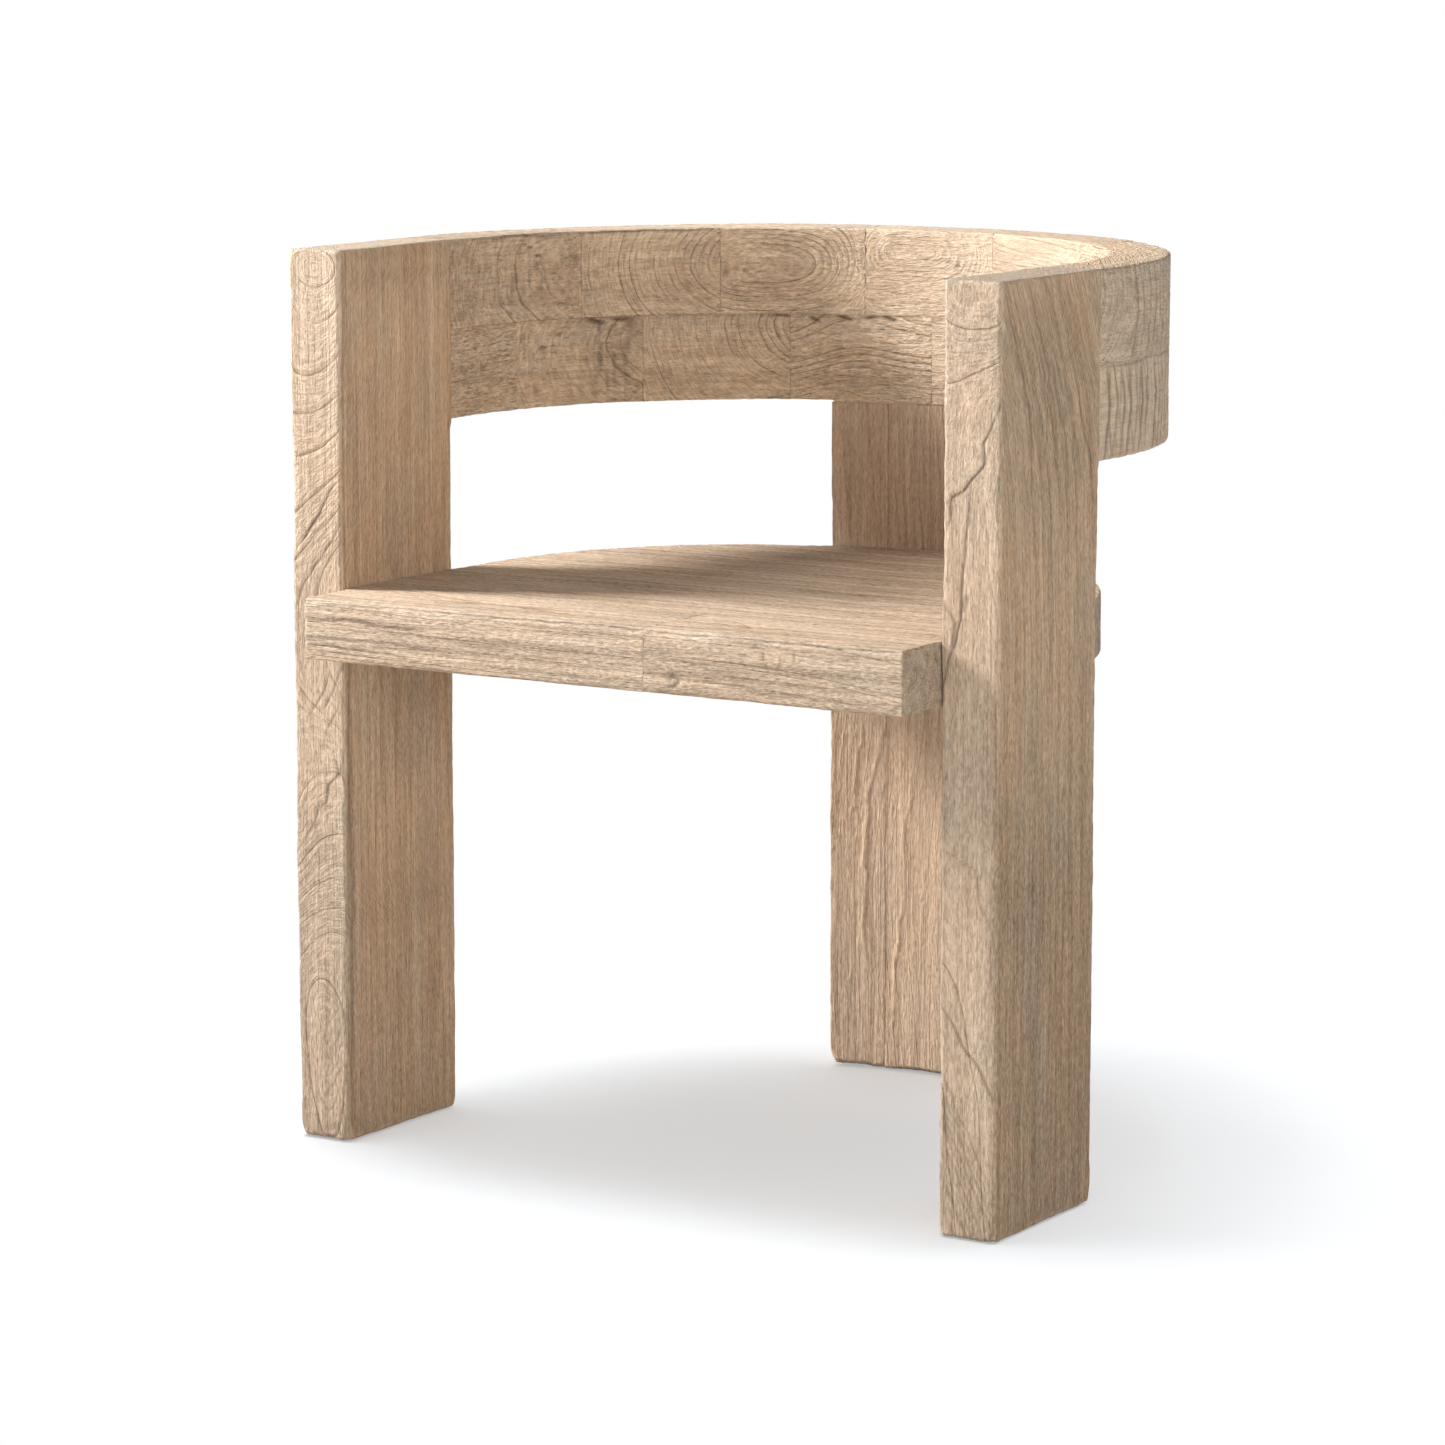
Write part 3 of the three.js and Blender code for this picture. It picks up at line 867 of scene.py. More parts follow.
def fresh_sawn_elm(name, tone_hex, dark_hex):
    """Elm of a new loose tenon, sawn and hidden in its pocket: warm, with straight fine rings."""
    material, tree = blank_material(name)
    place = add(tree, "ShaderNodeTexCoord").outputs["Object"]
    turned = add(tree, "ShaderNodeMapping", None, {"Vector": place, "Rotation": (0.0, 0.6, 0.3)})
    # At a scale of 1 the texture's bands are a twentieth of a turn apart
    waves = add(
        tree, "ShaderNodeTexWave", None,
        {"Vector": turned, "Scale": 2 * math.pi / (20 * TENON_RING), "Distortion": 2.0},
    ).outputs["Fac"]
    colour = add(
        tree, "ShaderNodeMix", {"data_type": "RGBA"}, {0: waves, 6: linear(tone_hex), 7: linear(dark_hex)}
    )
    softened = add(
        tree, "ShaderNodeMix", {"data_type": "RGBA"}, {0: 0.75, 6: colour.outputs[2], 7: linear(tone_hex)}
    )
    bump = add(tree, "ShaderNodeBump", None, {"Strength": 0.4, "Distance": 0.2 * MM, "Height": waves})
    shader = add(
        tree, "ShaderNodeBsdfPrincipled", None,
        {"Base Color": softened.outputs[2], "Roughness": 0.7, "IOR": 1.5, "Normal": bump},
    )
    add(tree, "ShaderNodeOutputMaterial", None, {"Surface": shader})
    return material


WHITE = linear("#FFFFFF")
# How far from the chair's middle the floor starts to show as plain white, and where it is all white
FLOOR_FADE = (0.38, 0.8)


def paper_floor(name):
    """White seamless paper: it shows as pure white, and keeps the chair's shadow as a soft grey."""
    material, tree = blank_material(name)
    # The shown paper reflects the light share of its colour and glows with the rest. Its little blue
    # takes out the warm light that the wood throws on the floor
    lit = linear(bpy.context.scene.chair.tones.paper)
    shown = add(tree, "ShaderNodeBsdfDiffuse", None, {"Color": lit})
    glow = add(tree, "ShaderNodeEmission", None, {"Color": WHITE, "Strength": 1 - lit[1]})
    both = add(tree, "ShaderNodeAddShader", None, {0: shown, 1: glow})
    real = add(tree, "ShaderNodeBsdfDiffuse", None, {"Color": linear("#E7E7E7")})
    seen = seen_directly(tree)
    paper = add(tree, "ShaderNodeMixShader", None, {0: seen, 1: real, 2: both})
    # Away from the chair, where the lamps fall off, the paper shows as plain white
    place = add(tree, "ShaderNodeTexCoord").outputs["Object"]
    far = add(tree, "ShaderNodeVectorMath", {"operation": "LENGTH"}, {0: place}).outputs["Value"]
    faded = add(
        tree, "ShaderNodeMapRange", {"interpolation_type": "SMOOTHSTEP"},
        {0: far, 1: FLOOR_FADE[0], 2: FLOOR_FADE[1]},
    )
    only_seen = add(tree, "ShaderNodeMath", {"operation": "MULTIPLY"}, {0: faded, 1: seen})
    white = add(tree, "ShaderNodeEmission", None, {"Color": WHITE, "Strength": 1.0})
    out = add(tree, "ShaderNodeMixShader", None, {0: only_seen, 1: paper, 2: white})
    add(tree, "ShaderNodeOutputMaterial", None, {"Surface": out})
    return material


# Which wood each board has


def bundle(axis, sign, path, shift, count, wide, deep):
    """Cracks side by side, each one moved on from the last by shift, some deeper than others."""
    cracks = []
    for i in range(count):
        moved = [(a + i * shift[0], b + i * shift[1]) for a, b in path]
        cracks.append((axis, sign, moved, wide, deep * (0.8 + 0.2 * math.cos(2.4 * i))))
    return tuple(cracks)


# The front legs' grain: the pith runs before the front face, at the distance given here last
# Each leg's fade makes it lighter towards its top and darker towards its foot: painted light and shade
LEG_GRAINS = {
    "left_front_leg": Grain(
        pith=[
            (0.00, 6, 22), (0.07, 4, 14), (0.141, 2, 11), (0.186, 0, 22), (0.24, 14, 38), (0.268, 18, 54),
            (0.303, 22, 70), (0.36, 20, 88), (0.43, 4, 104), (0.50, -48, 112), (0.57, -72, 112),
            (0.64, -72, 110), (0.70, -50, 100), (0.7686, -21, 86), (0.8168, -15, 70), (0.8594, -8, 54),
            (0.9165, 0, 38), (0.957, 0, 22), (0.980, 0, 8), (1.00, 0, 20),
        ],
        ring=4.0, relief=0.85, warp=0.5, few=1.5, strong_every=4, flank=0.12, tone=-0.01, fade=0.32,
        rough=0.62, chips=0.6,
        shades=(
            ((-190, 25, 0), (170, 12, 90), 0.12), ((215, 25, 20), (130, 12, 90), 0.06),
            # The -0.14 patch on the inner face just under the seat is a painted shadow of the seat
            ((-24, 25, 8), (46, 12, 38), -0.14), ((345, 25, 0), (18, 12, 90), -0.1),
            # The -0.09 patch darkens the front near the foot, painted shade, and the -0.16 patch is
            # painted shade on the outer flank, which the key lamps light hardest
            ((-210, 0, -75), (160, 40, 12), -0.09), ((0, -25, 0), (400, 5, 90), -0.16),
        ),
        cracks=(
            (2, -1, [(121, -20), (146, 0), (172, 18)], 1.7, 0.9),
            (2, -1, [(72, -22), (97, -9), (120, 8), (140, 24)], 1.5, 0.8),
            *bundle(2, -1, [(66, -25), (104, -8), (142, 14)], (15, 0), 5, 1.0, 0.2),
            (2, -1, [(26, 12), (8, 4), (-12, -9)], 1.5, 0.6),
            (2, -1, [(32, 24), (10, 14), (-8, 3)], 1.4, 0.55),
            (2, -1, [(4, 22), (-18, 10), (-38, 2)], 1.4, 0.5),
            (2, -1, [(-40, 14), (-56, 19), (-66, 9), (-80, 6), (-92, -6)], 1.7, 0.7),
            (2, -1, [(-78, 0), (-92, -4), (-110, -13)], 1.6, 0.6),
            *bundle(2, -1, [(-326, -2), (-308, 8), (-290, 20)], (10, 0), 7, 1.0, 0.35),
            (1, 1, [(60, -66), (-60, -68), (-150, -65), (-340, -69)], 4.0, 0.5),
            (1, 1, [(340, -70), (200, -71), (80, -70)], 3.0, 0.4),
        ),
    ),
    "right_front_leg": Grain(
        pith=[
            (0.00, -60, 40), (0.08, -60, 48), (0.16, -60, 54), (0.20, -60, 63), (0.26, -45, 80),
            (0.34, -24, 92), (0.45, 0, 96), (0.60, -5, 96), (0.72, -20, 96), (0.84, -22, 95),
            (0.903, -20, 84.7), (0.9478, -2, 66.3), (0.975, 0, 56), (1.00, 0, 54),
        ],
        ring=2.6, relief=1.1, warp=0.5, few=1.5, strong_every=8, flank=0.12, fade=0.2, rough=0.85,
        chips=0.6, tone=-0.03, sweep=((-355, 60), (90, 60), (190, 54), (264, 37), (355, -3)),
        shades=(
            # The -0.2 patch darkens the outer flank towards its foot: painted shade
            ((-200, 25, 0), (210, 12, 95), -0.2), ((270, 25, 0), (90, 12, 95), -0.07),
            ((-30, 25, 0), (120, 12, 95), -0.07),
        ),
        cracks=(
            (2, -1, [(266, 24), (238, 9), (224, 11), (201, -7), (196, -16), (177, -19)], 1.8, 0.85),
            (2, -1, [(204, -1), (174, -3), (138, -7), (107, -9), (80, -17), (54, -25)], 1.8, 0.8),
            (2, -1, [(120, -22), (104, -14), (84, -17)], 1.7, 0.6),
            (2, -1, [(-62, -24), (-76, 6), (-99, 9), (-125, 21)], 1.3, 0.5),
            (2, -1, [(-178, -24), (-205, -6), (-222, 8), (-245, 22)], 1.8, 0.8),
            *bundle(2, -1, [(-228, -25), (-260, -7), (-292, 9), (-320, 24)], (-9.5, 0), 9, 1.6, 0.5),
            *bundle(2, -1, [(-262, -25), (-296, -8), (-330, 8)], (-19, 0), 4, 1.3, 0.4),
            *bundle(1, 1, [(344, -70), (300, -50), (255, -32), (150, -22)], (0, 13), 8, 2.2, 0.55),
            *bundle(1, 1, [(320, -58), (262, -34), (225, -28)], (-9, 19), 6, 2.8, 0.65),
            (1, 1, [(-176, -24), (-190, -23)], 1.4, 0.8),
            (1, 1, [(-238, -68), (-262, -71)], 1.2, 0.7),
        ),
        pits=(((121, -2, -75), (5, 3, 6)), ((-232, 25, -75), (5, 4, 6))),
    ),
}


def block(pith, **changes):
    """A rail block's grain. Its inner face is 25 mm in from the block's middle."""
    usual = {
        "ring": 3.8, "few": 1.1, "relief": 1.1, "warp": 0.8, "outer_grey": 0.3, "end_seam": 0.04,
        "seam": 0.5,
    }
    return Grain(pith=pith, **{**usual, **changes})


# Strokes of a coarse saw down the outer face of a rail block: place, reach and pitch
OUTER_STROKES = ((0, -25, 0), (70, 30, 50), 9.0)
RAIL_GRAINS = {
    "lower_rail_1": block(
        [(0, 70, 6), (1, 130, 2)], ring=6.0, relief=1.4, warp=1.6, tone=-0.02, calm=0.5,
        cracks=(
            *bundle(1, -1, [(-34, 36), (-28, 6), (-37, -36)], (11.5, 0), 7, 3.2, 0.75),
            *bundle(1, -1, [(-29, 36), (-31, -4), (-25, -36)], (17.5, 0), 4, 2.2, 0.6),
            (1, -1, [(-36, 35), (0, 34), (36, 35)], 2.0, 0.6),
        ),
    ),
    "lower_rail_2": block(
        [(0, 74, 10), (1, 140, 4)], ring=6.0, relief=1.5, warp=1.8, tone=-0.02, calm=0.4,
        pits=(((40, -25, 20), (18, 20, 16)),),
        cracks=(
            *bundle(1, -1, [(-66, 36), (-59, 8), (-69, -36)], (12.6, 0), 11, 3.2, 0.75),
            *bundle(1, -1, [(-60, 36), (-63, -6), (-56, -36)], (19.0, 0), 7, 2.2, 0.6),
            (1, -1, [(-68, 35), (0, 34), (68, 35)], 2.0, 0.6),
        ),
    ),
    "lower_rail_3": block(
        [(0, -90, -30), (1, -60, -12)], relief=0.6, calm=0.45, saw_marks=(OUTER_STROKES,),
    ),
    "lower_rail_4": block(
        [(0, -30, 60), (1, -10, 50)], relief=0.6, calm=0.25, tone=-0.02, saw_marks=(OUTER_STROKES,),
    ),
    "lower_rail_5": block(
        [(0, 0, 44), (0.6, -14, 48), (1, 6, 40)], ring=4.4, relief=0.7,
        shades=(((-20, 25, -12), (66, 14, 18), -0.12),),
        cracks=(
            (1, 1, [(46, 35), (37, 32)], 2.6, 1.0), (1, 1, [(24, 35), (9, 31)], 2.8, 1.0),
            (1, 1, [(-3, 34), (-11, 35)], 2.6, 0.9), (1, 1, [(-17, 35), (-29, 32)], 2.8, 1.0),
        ),
    ),
    "lower_rail_6": block(
        [(0, 19, 24), (0.5, -35, 28), (1, -89, 34)], tone=-0.04,
        shades=(((40, 25, -20), (40, 14, 14), -0.06),),
        cracks=((1, 1, [(-44, 35), (-70, 35)], 1.8, 0.8),),
    ),
    "lower_rail_7": block(
        [(0, -60, 20), (0.5, -90, 10), (1, -110, 0)], few=2.6, relief=1.0, tone=-0.15,
        saw_marks=(((-34, 25, 4), (26, 40, 46), 6.0), ((48, 25, 10), (14, 40, 22), 5.0)),
        shades=(((-30, 25, 6), (28, 14, 40), -0.14),), pits=(((20, 25, 20), (20, 20, 11)),),
        cracks=((1, 1, [(-12, 34), (-28, 31)], 3.0, 0.9), (1, 1, [(-34, 35), (-52, 33)], 3.0, 0.9)),
    ),
    "lower_rail_8": block([(0, 46, 66), (1, 40, 60)], few=2.6, relief=0.6, tone=-0.2),
    "upper_rail_1": block(
        [(0, 64, 20), (1, 120, -20)], tone=-0.04, bleach=-0.5, warp=1.4, relief=1.4,
        cracks=bundle(1, -1, [(-30, 36), (-22, 0), (-35, -36)], (14, 0), 8, 2.8, 0.5),
    ),
    "upper_rail_2": block(
        [(0, 60, -30), (1, 104, -14)], tone=-0.04, bleach=-0.5, warp=1.6, ring=5.0, relief=1.4,
        pits=(((0, -25, 0), (60, 20, 26)),),
        cracks=(
            *bundle(1, -1, [(-60, 36), (-49, 0), (-63, -36)], (15, 0), 8, 2.8, 0.5),
            (1, -1, [(-40, 34), (-36, 24), (-39, 14)], 3.4, 1.0), (1, -1, [(-12, 30), (-4, 12)], 3.0, 0.9),
        ),
    ),
    "upper_rail_3": block([(0, 30, 40), (1, 16, 50)], relief=0.35, calm=0.6, bleach=-0.3, tone=-0.05),
    "upper_rail_4": block(
        [(0, -20, 14), (0.4, 12, 16), (0.645, 22, 16), (0.85, 16, 16), (1, -2, 16)], relief=0.6, calm=0.25,
        knots=(((14, 25, 16), (12, 30, 7), 4.0),), pits=(((-20, 25, 12), (10, 20, 6)),),
    ),
    "upper_rail_5": block(
        [(0, -22, 6), (0.3, 4, 6), (0.6, 18, 6), (0.8, 22, 6), (1, 10, 6)], relief=0.9,
        knots=(((46, 25, 5), (10, 30, 8), 5.0), ((20, 25, 8), (14, 30, 5), 3.0)),
        pits=(((48, 25, 4), (12, 20, 8)), ((-2, 25, 14), (14, 20, 6))),
    ),
    "upper_rail_6": block(
        [(0, 8, 8), (0.5, -42, 8), (1, -91, 8)], tone=-0.03,
        cracks=((1, 1, [(70, 34), (30, 34), (-30, 34), (-66, 35)], 2.2, 0.6),),
    ),
    "upper_rail_7": block(
        [(0, -75, 6), (1, -135, 2)], few=2.2, tone=-0.19, saw_marks=(((-16, 25, 8), (20, 40, 28), 6.0),),
        pits=(((-24, 25, 20), (14, 20, 12)),),
        cracks=((1, 1, [(20, 33), (-10, 34), (-62, 33)], 2.8, 0.55),),
    ),
}


def panel_board(pith, **changes):
    """The grain of a seat board behind the front one."""
    usual = {"ring": 3.4, "few": 1.0, "relief": 0.7, "warp": 0.3, "pitted": 0.0, "seam": 0.08}
    return Grain(pith=pith, **{**usual, **changes})


# The seat boards' grain, from the front board to the back one. The pith runs under the seat
SEAT_GRAINS = {
    "seat_board_front_left": Grain(
        pith=[(0, 8, -78), (0.45, 4, -84), (1, 12, -80)], ring=3.0, relief=0.9, warp=0.22, few=2.2,
        pitted=0.0, rough=1.1, fade=-0.06, tone=0.03, end_seam=0.3, chips=0.0,
        cracks=(
            (1, -1, [(-155, 8), (-100, 9), (-45, 6)], 2.0, 0.7),
            (1, -1, [(-150, 1), (-60, 3), (30, -2)], 1.8, 0.5),
            (1, -1, [(-155, -8), (-90, -5), (-20, -9)], 2.0, 0.6),
            (1, -1, [(-155, -14), (-120, -13), (-60, -16)], 2.0, 0.7),
            (1, -1, [(-10, -3), (60, -6), (152, -4)], 1.0, 0.45),
            (1, -1, [(-60, 14), (40, 12), (120, 15)], 0.9, 0.35),
        ),
    ),
    "seat_board_front_right": Grain(
        pith=[(0, 6, -80), (0.5, -2, -86), (1, 14, -90)], ring=3.0, relief=0.9, warp=0.3, few=2.2,
        pitted=0.0, rough=1.1, tone=-0.01, end_seam=0.3, chips=0.1,
        knots=(((-86, -42, -13), (5, 7, 5), 5.0),),
        pits=(((-14, -42, 11), (14, 6, 7)),),
        cracks=(
            (1, -1, [(-110, 4), (-80, 2), (-50, -3), (-4, -12)], 1.6, 0.4),
            (1, -1, [(-90, -13), (-86, -8), (-82, -13), (-86, -18), (-90, -13)], 2.2, 0.7),
            (1, -1, [(-74, -12), (-20, -14), (34, -16)], 1.8, 0.45),
            *bundle(1, -1, [(-8, 14), (-6, 5)], (13, 1), 3, 2.0, 0.7),
        ),
        shades=(((112, 0, 0), (3, 60, 40), 0.04),),
    ),
    "seat_board_2": panel_board([(0, 66, -50), (1, 58, -54)], warp=0.25),
    # The darker tones of the boards behind the front one are partly their own and partly painted shade on
    # the seat's rear
    "seat_board_3": panel_board([(0, -60, -46), (1, -70, -54)], ring=3.2, tone=-0.03),
    "seat_board_4": panel_board([(0, 52, -60), (1, 60, -50)], tone=-0.02),
    "seat_board_5": panel_board([(0, -44, -52), (1, -58, -52)], ring=3.6, tone=-0.04),
    "seat_board_6": panel_board([(0, 60, -54), (1, 56, -50)], tone=-0.02),
}


def stave(pith, **changes):
    """The grain of a stave of the rear leg. Its late wood stands proud."""
    usual = {
        "ring": 6.0, "relief": 0.6, "warp": 0.4, "few": 1.6, "proud": 1.0, "rough": 0.9, "pitted": 0.0,
        "seam": 0.3, "end_seam": 0.55, "fade": -0.01, "foot": 2.6, "chips": 0.7,
    }
    return Grain(pith=pith, **{**usual, **changes})


# The rear leg's grain. A few hard cords stand out most
REAR_GRAINS = {
    "left": stave(
        [(0, 44, -50), (0.3, 40, -44), (0.6, 52, -50), (1, 46, -44)], tone=0.02,
        cords=(
            (2, -1, [(14, 23), (-48, 9), (-100, 7), (-164, 5), (-194, 9)], 2.0, 0.9),
            (2, -1, [(12, 4), (-25, -1), (-60, -4)], 1.8, 0.8),
            (2, -1, [(-110, -6), (-170, -4), (-250, -8)], 1.6, 0.4),
        ),
    ),
    "middle": stave(
        [(0, 70, -52), (0.3, 60, -46), (0.6, 74, -54), (1, 60, -50)], ring=6.6, tone=-0.01, foot=1.0,
        # Its shades are painted: a darker patch high on the front's right, under the rail, is painted
        # shade, and a paler patch below the seat is painted light
        chips=1.0, shades=(((195, 20, -25), (110, 26, 20), -0.08), ((-10, 0, -25), (60, 60, 20), 0.06)),
        cords=(
            (2, -1, [(-42, -16), (-70, -23), (-129, -24), (-188, -31), (-272, -34)], 2.0, 0.9),
            (2, -1, [(-20, 4), (-120, -4), (-250, -12)], 1.6, 0.45),
            (2, -1, [(10, 18), (-90, 12), (-230, 4)], 1.6, 0.45),
            (2, -1, [(-10, -30), (-50, -33), (-110, -38)], 1.6, 0.5),
        ),
    ),
    "right": stave([(0, 30, -50), (0.5, 44, -44), (1, 36, -50)]),
}


# Operators


class Chair(bpy.types.PropertyGroup):
    """Everything that a user can change on the chair."""

    wear: bpy.props.PointerProperty(type=ChairWear)
    tones: bpy.props.PointerProperty(type=ChairTones)
    stage: bpy.props.PointerProperty(type=ChairStage)


# How each kind of board looks: how dark its ring lines are, how gritty it is, how much the fine layers
# of its rings show, how far its fibres are drawn out, and how much its long streaks show
LOOKS = {
    "leg": {"line_share": 0.6, "grit": 0.75, "figure": 0.0, "stretch": 2.6, "streaks": 0.16},
    "rear": {"line_share": 0.3, "grit": 0.6, "figure": 0.0, "stretch": 2.0, "streaks": 0.14},
    "rail": {"line_share": 0.65, "grit": 0.85, "figure": 0.9, "stretch": 1.0, "streaks": 0.06},
    "seat": {"line_share": 0.7, "grit": 0.95, "figure": 0.2, "stretch": 3.0, "streaks": 0.36},
}


def wood(kind):
    """The brushed wood of one kind of board, made once."""
    tones = bpy.context.scene.chair.tones
    name = f"wire_brushed_reclaimed_elm_{kind}"
    if name in bpy.data.materials:
        return bpy.data.materials[name]
    line = tones.ridge if kind == "rear" else tones.dark
    return wire_brushed_elm(name, getattr(tones, kind), line, **LOOKS[kind])


def clear_of_rail(world):
    """1 below the rail, and 0 where the rail meets a front leg."""
    return 1 - ramp(world[:, 2], RAIL_LOW - 7, RAIL_LOW + 1)


def clear_of_rear_leg(world):
    """1 beside the rear leg, and 0 where it meets the seat or the rail."""
    return ramp(np.abs(world[:, 0]), REAR_HALF - 6, REAR_HALF - 1)


def clear_of_front_legs(world):
    """1 before and behind the front legs, and 0 where they meet the seat."""
    beside = ramp(world[:, 1], LEG_LOW[1] - 1, LEG_LOW[1] + 5)
    behind = ramp(world[:, 1], LEG_HIGH[1] - 5, LEG_HIGH[1] + 1)
    return 1 - beside + behind


def worn_along_front(world):
    """1 on the seat's top, and more along its front edge, which is rounder."""
    return 1 + 1.2 * (1 - ramp(world[:, 1], CHAIR_LOW[1] + 8, CHAIR_LOW[1] + 16))


def rail_place(points):
    """How far along the rail's middle line each point lies, from the right end on."""
    x, y = points[:, 0], points[:, 1]
    before = np.minimum(y - BEND_Y, 0)
    angle = np.where(before < 0, np.where(x > 0, 0, math.pi), np.arctan2(y - BEND_Y, x))
    return STRAIGHT_RUN + MIDDLE_RADIUS * angle + np.where(x > 0, before, -before)


# An upright board's own directions: along it is up, across it is +X, and its third is +Y
UPRIGHT = np.array([[0, 0, 1.0], [1.0, 0, 0], [0, 1.0, 0]])


class CHAIR_OT_front_legs(bpy.types.Operator):
    """Make the two slab front legs."""

    bl_idname = "chair.front_legs"
    bl_label = "Front legs"

    def execute(self, context):
        wear = context.scene.chair.wear
        step = wear.mesh_step / MM
        open_sides = {"y+": clear_of_rail, "y-": 1.4, "x-": 1.4, "x+": 1.4}
        for seed, (name, grain) in enumerate(LEG_GRAINS.items(), start=100):
            low, high = box_mm(name)
            front = (low[1] - high[1]) / 2
            pith = [(share, across, front - ahead) for share, across, ahead in grain.pith]
            obj = make_board(
                name + "_board", low, high, straight, replace(grain, pith=pith), seed, wear, open_sides,
                (step, 1.6 * step, 1.26 * step), UPRIGHT,
            )
            finish_board(obj, name, wood("leg"))
        return {"FINISHED"}


class CHAIR_OT_rear_leg(bpy.types.Operator):
    """Make the three glued staves of the curved rear leg."""

    bl_idname = "chair.rear_leg"
    bl_label = "Rear leg"

    def execute(self, context):
        wear = context.scene.chair.wear
        step = wear.mesh_step / MM
        for seed, (side, grain) in enumerate(REAR_GRAINS.items(), start=200):
            name = f"rear_leg_{side}_stave"
            low, high = box_mm(name)
            low[1], high[1] = -SLAB / 2, SLAB / 2
            open_sides = {
                "z+": 0.0,
                "x-": 1.0 if side == "left" else 0.0,
                "x+": 1.0 if side == "right" else 0.0,
            }
            obj = make_board(
                name + "_board", low, high, round_stave, grain, seed, wear, open_sides,
                (step, step, 1.3 * step), UPRIGHT,
            )
            finish_board(obj, name, wood("rear"))
        return {"FINISHED"}


class CHAIR_OT_rail(bpy.types.Operator):
    """Lay the two courses of short curved blocks that make the arms and the back."""

    bl_idname = "chair.rail"
    bl_label = "Rail"

    def execute(self, context):
        wear = context.scene.chair.wear
        step = 0.88 * wear.mesh_step / MM
        for seed, (name, grain) in enumerate(RAIL_GRAINS.items(), start=300):
            low, high = box_mm(name)
            points = np.array([vertex.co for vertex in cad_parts[name].data.vertices]) / MM
            along = rail_place(points)
            low[:2] = along.min(), -SLAB / 2
            high[:2] = along.max(), SLAB / 2
            if name.startswith("upper"):
                open_sides = {"x-": 0.0, "x+": 0.0, "z-": 0.0, "z+": 1.0}
            else:
                open_sides = {"x-": 0.0, "x+": 0.0, "z-": clear_of_rear_leg, "z+": 0.0}
            obj = make_board(
                name + "_block", low, high, round_rail, grain, seed, wear, open_sides, (step, step, step)
            )
            finish_board(obj, name, wood("rail"))
        return {"FINISHED"}


# How far in the last seat board's pointed ends are cut, on each side
LAST_BOARD_INSET = 2.0


class CHAIR_OT_seat(bpy.types.Operator):
    """Glue up the seat from boards laid from side to side."""

    bl_idname = "chair.seat"
    bl_label = "Seat"

    def execute(self, context):
        wear = context.scene.chair.wear
        step = wear.mesh_step / MM
        for seed, (name, grain) in enumerate(SEAT_GRAINS.items(), start=400):
            low, high = box_mm(name)
            open_sides = {"x-": clear_of_front_legs, "x+": clear_of_front_legs, "y-": 0.0, "y+": 0.0}
            bend = round_seat_end
            if "front" in name:
                bend = straight
                open_sides["y-"] = 1.8
                open_sides["z+"] = worn_along_front
                open_sides["x+" if name.endswith("left") else "x-"] = 0.0
            elif name.endswith("6"):
                bend = round_seat_back
                low[:2] = low[0] + LAST_BOARD_INSET, 0
                high[:2] = high[0] - LAST_BOARD_INSET, LAST_BOARD_DEPTH
                open_sides.update({"y+": clear_of_rear_leg, "x-": 0.5, "x+": 0.5})
            else:
                low[0], high[0] = -SEAT_HALF, SEAT_HALF
            obj = make_board(
                name + "_panel", low, high, bend, grain, seed, wear, open_sides, (1.7 * step, step, step),
                np.eye(3),
            )
            finish_board(obj, name, wood("seat"))
        return {"FINISHED"}


class CHAIR_OT_tenons(bpy.types.Operator):
    """Give the hidden tenons their wood."""

    bl_idname = "chair.tenons"
    bl_label = "Tenons"

    def execute(self, context):
        tones = context.scene.chair.tones
        material = fresh_sawn_elm("fresh_sawn_elm_tenon", tones.tenon, tones.dark)
        for name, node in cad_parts.items():
            if "tenon" in name:
                node.data.materials.clear()
                node.data.materials.append(material)
        return {"FINISHED"}


CHAIR_MIDDLE = Vector((0.0, 0.0, 0.36))
# The lamps: how far round from the front and how far up they stand in degrees, their distance and
# size in metres, the name of their power, and whether they light the floor or the chair
LAMPS = (
    ("key_lamp", -67, 31, 3.5, (0.6, 0.6), "key", False),
    ("high_lamp", -70, 41, 3.5, (0.7, 1.1), "high", False),
    ("fill_lamp", 48, 12, 4.0, (2.2, 1.6), "fill", False),
    ("floor_lamp", -60, 80, 3.0, (1.0, 1.0), "floor", True),
    ("roof_lamp", 0, 90, 3.0, (5.0, 5.0), "roof", True),
)
# Half the floor's width, and how far it lies below the feet, so that they never share a plane
FLOOR_HALF = 30.0
FLOOR_DROP = 0.0002


def away(azimuth, elevation):
    """A direction away from the chair. Azimuth goes round from the front, towards +X."""
    level = math.cos(elevation)
    return Vector((math.sin(azimuth) * level, -math.cos(azimuth) * level, math.sin(elevation)))


def aim_at(obj, direction, distance, target):
    """Puts an object at a distance from a target, in a direction, with its -Z axis on the target."""
    place = target + direction * distance
    facing = (target - place).to_track_quat("-Z", "Y")
    obj.matrix_world = Matrix.LocRotScale(place, facing, None)


def soft_lamp(name, direction, distance, size, power, floor, on_floor):
    """A rectangular lamp that lights either the chair or the floor."""
    lamp = bpy.data.lights.new(name, "AREA")
    lamp.shape = "RECTANGLE"
    lamp.size, lamp.size_y = size
    lamp.energy = power
    obj = bpy.data.objects.new(name, lamp)
    bpy.context.scene.collection.objects.link(obj)
    aim_at(obj, direction, distance, Vector((0, 0, 0)) if on_floor else CHAIR_MIDDLE)
    lit = bpy.data.collections.new(name + "_lights")
    lit.objects.link(floor)
    lit.collection_objects[0].light_linking.link_state = "INCLUDE" if on_floor else "EXCLUDE"
    obj.light_linking.receiver_collection = lit


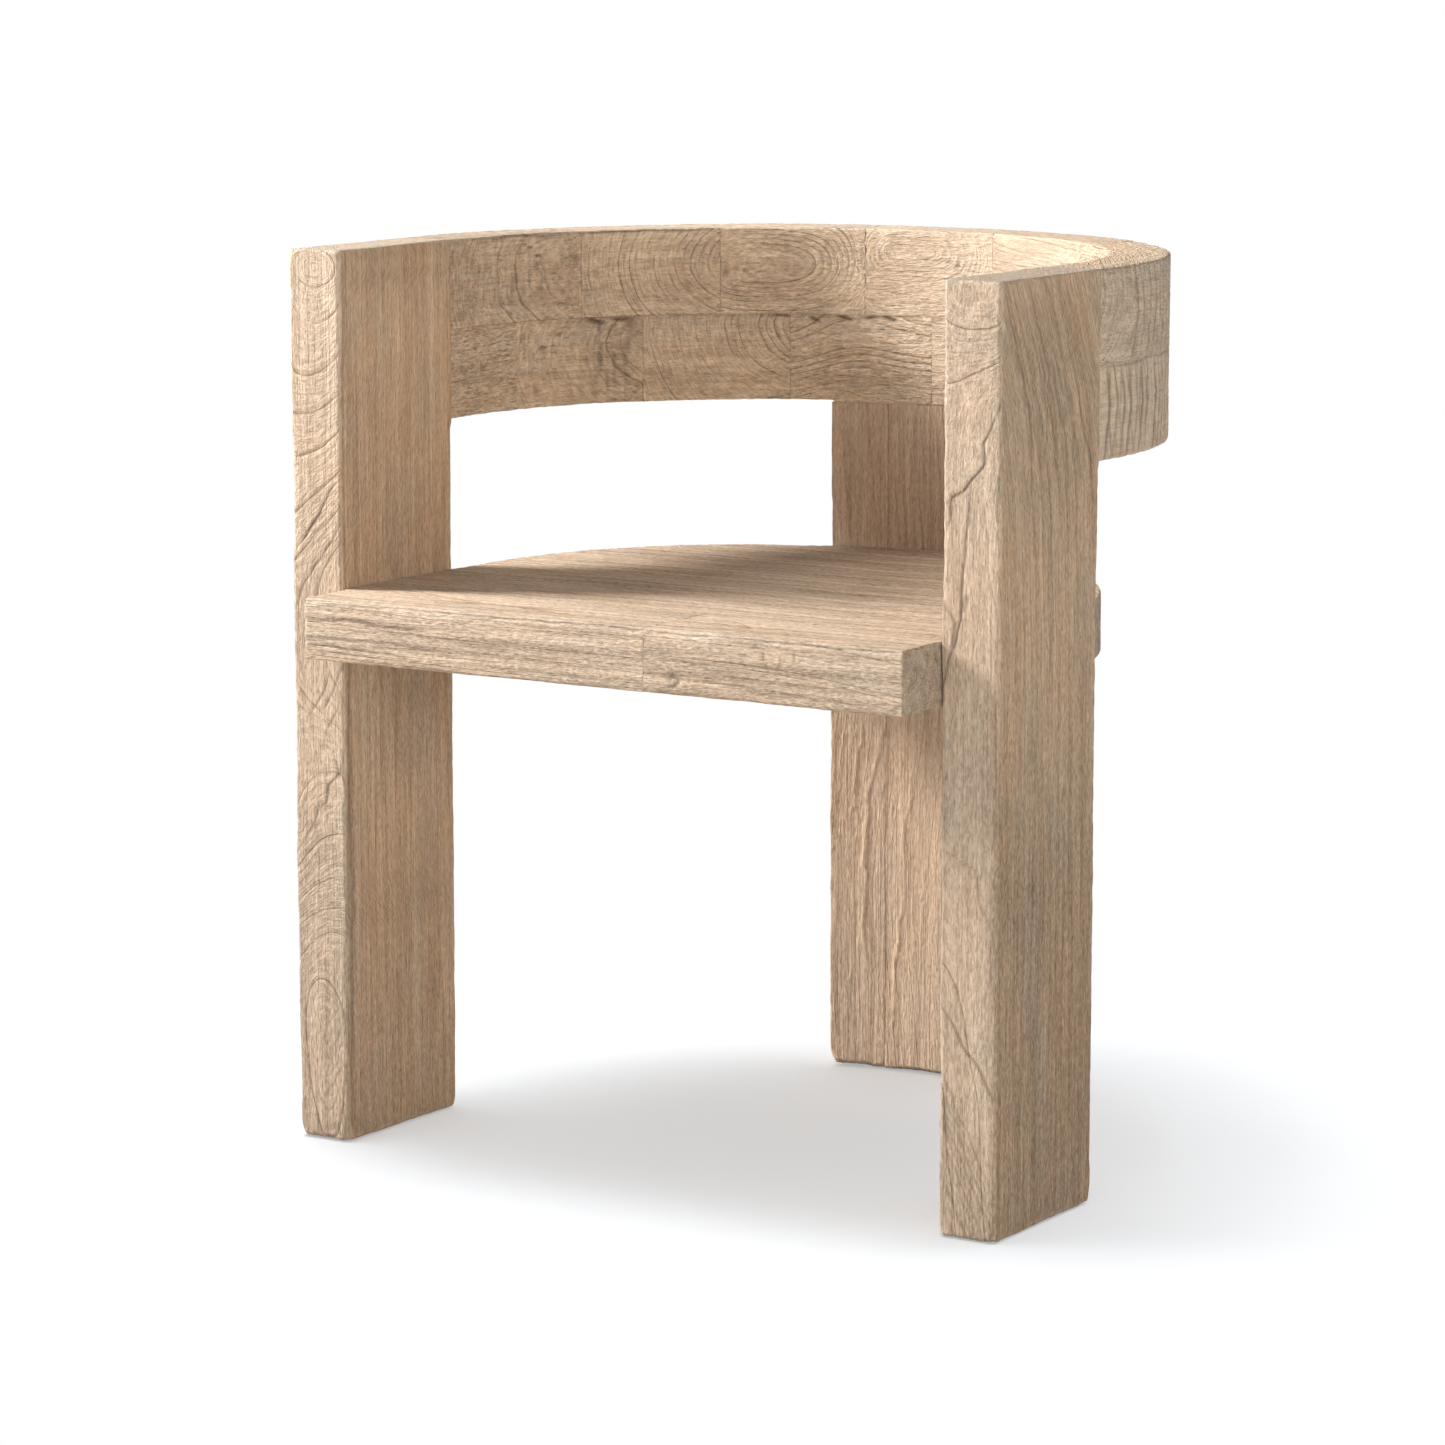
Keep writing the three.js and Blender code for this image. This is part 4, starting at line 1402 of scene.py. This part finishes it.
class CHAIR_OT_stage(bpy.types.Operator):
    """Set up the floor, the lamps and the camera."""

    bl_idname = "chair.stage"
    bl_label = "Stage"

    def execute(self, context):
        scene = context.scene
        stage = scene.chair.stage
        corners = [(x * FLOOR_HALF, y * FLOOR_HALF, 0) for x, y in ((-1, -1), (1, -1), (1, 1), (-1, 1))]
        mesh = bpy.data.meshes.new("paper_floor")
        mesh.from_pydata(corners, [], [(0, 1, 2, 3)])
        floor = bpy.data.objects.new("paper_floor", mesh)
        floor.location.z = -FLOOR_DROP
        mesh.materials.append(paper_floor("white_seamless_paper"))
        scene.collection.objects.link(floor)

        for name, azimuth, elevation, distance, size, power, on_floor in LAMPS:
            direction = away(math.radians(azimuth), math.radians(elevation))
            soft_lamp(name, direction, distance, size, getattr(stage, power), floor, on_floor)

        # The sky lights the chair evenly, and shows as plain white behind it
        world = bpy.data.worlds.new("even_sky")
        world.use_nodes = True
        tree = world.node_tree
        tree.nodes.clear()
        sky = add(tree, "ShaderNodeBackground", None, {"Color": WHITE, "Strength": stage.sky})
        white = add(tree, "ShaderNodeBackground", None, {"Color": WHITE, "Strength": 1.0})
        mix = add(tree, "ShaderNodeMixShader", None, {0: seen_directly(tree), 1: sky, 2: white})
        add(tree, "ShaderNodeOutputWorld", None, {"Surface": mix})
        scene.world = world

        camera = bpy.data.cameras.new("photo_camera")
        camera.lens = stage.lens
        camera.sensor_width = 36
        camera.clip_end = 100
        obj = bpy.data.objects.new("photo_camera", camera)
        scene.collection.objects.link(obj)
        aim_at(obj, away(stage.azimuth, stage.elevation), stage.distance, Vector(stage.aim))
        scene.camera = obj
        scene.view_settings.view_transform = "Standard"
        return {"FINISHED"}


STEPS = (
    CHAIR_OT_front_legs,
    CHAIR_OT_rear_leg,
    CHAIR_OT_rail,
    CHAIR_OT_seat,
    CHAIR_OT_tenons,
    CHAIR_OT_stage,
)


class CHAIR_PT_panel(bpy.types.Panel):
    """The chair's steps and what can be changed."""

    bl_idname = "CHAIR_PT_panel"
    bl_label = "Chair"
    bl_space_type = "VIEW_3D"
    bl_region_type = "UI"
    bl_category = "Chair"

    def draw(self, context):
        chair = context.scene.chair
        for group in (chair.wear, chair.tones, chair.stage):
            column = self.layout.column(align=True)
            for name in group.__annotations__:
                column.prop(group, name)
        for step in STEPS:
            self.layout.operator(step.bl_idname)


CLASSES = (ChairWear, ChairTones, ChairStage, Chair, *STEPS, CHAIR_PT_panel)


def register():
    """Adds the chair's classes, and its settings to each scene."""
    for item in CLASSES:
        bpy.utils.register_class(item)
    bpy.types.Scene.chair = bpy.props.PointerProperty(type=Chair)


def unregister():
    """Takes out again what register added."""
    del bpy.types.Scene.chair
    for item in reversed(CLASSES):
        bpy.utils.unregister_class(item)


def main():
    """Runs every step."""
    register()
    bpy.ops.chair.front_legs()
    bpy.ops.chair.rear_leg()
    bpy.ops.chair.rail()
    bpy.ops.chair.seat()
    bpy.ops.chair.tenons()
    bpy.ops.chair.stage()


if __name__ == "__main__":
    main()
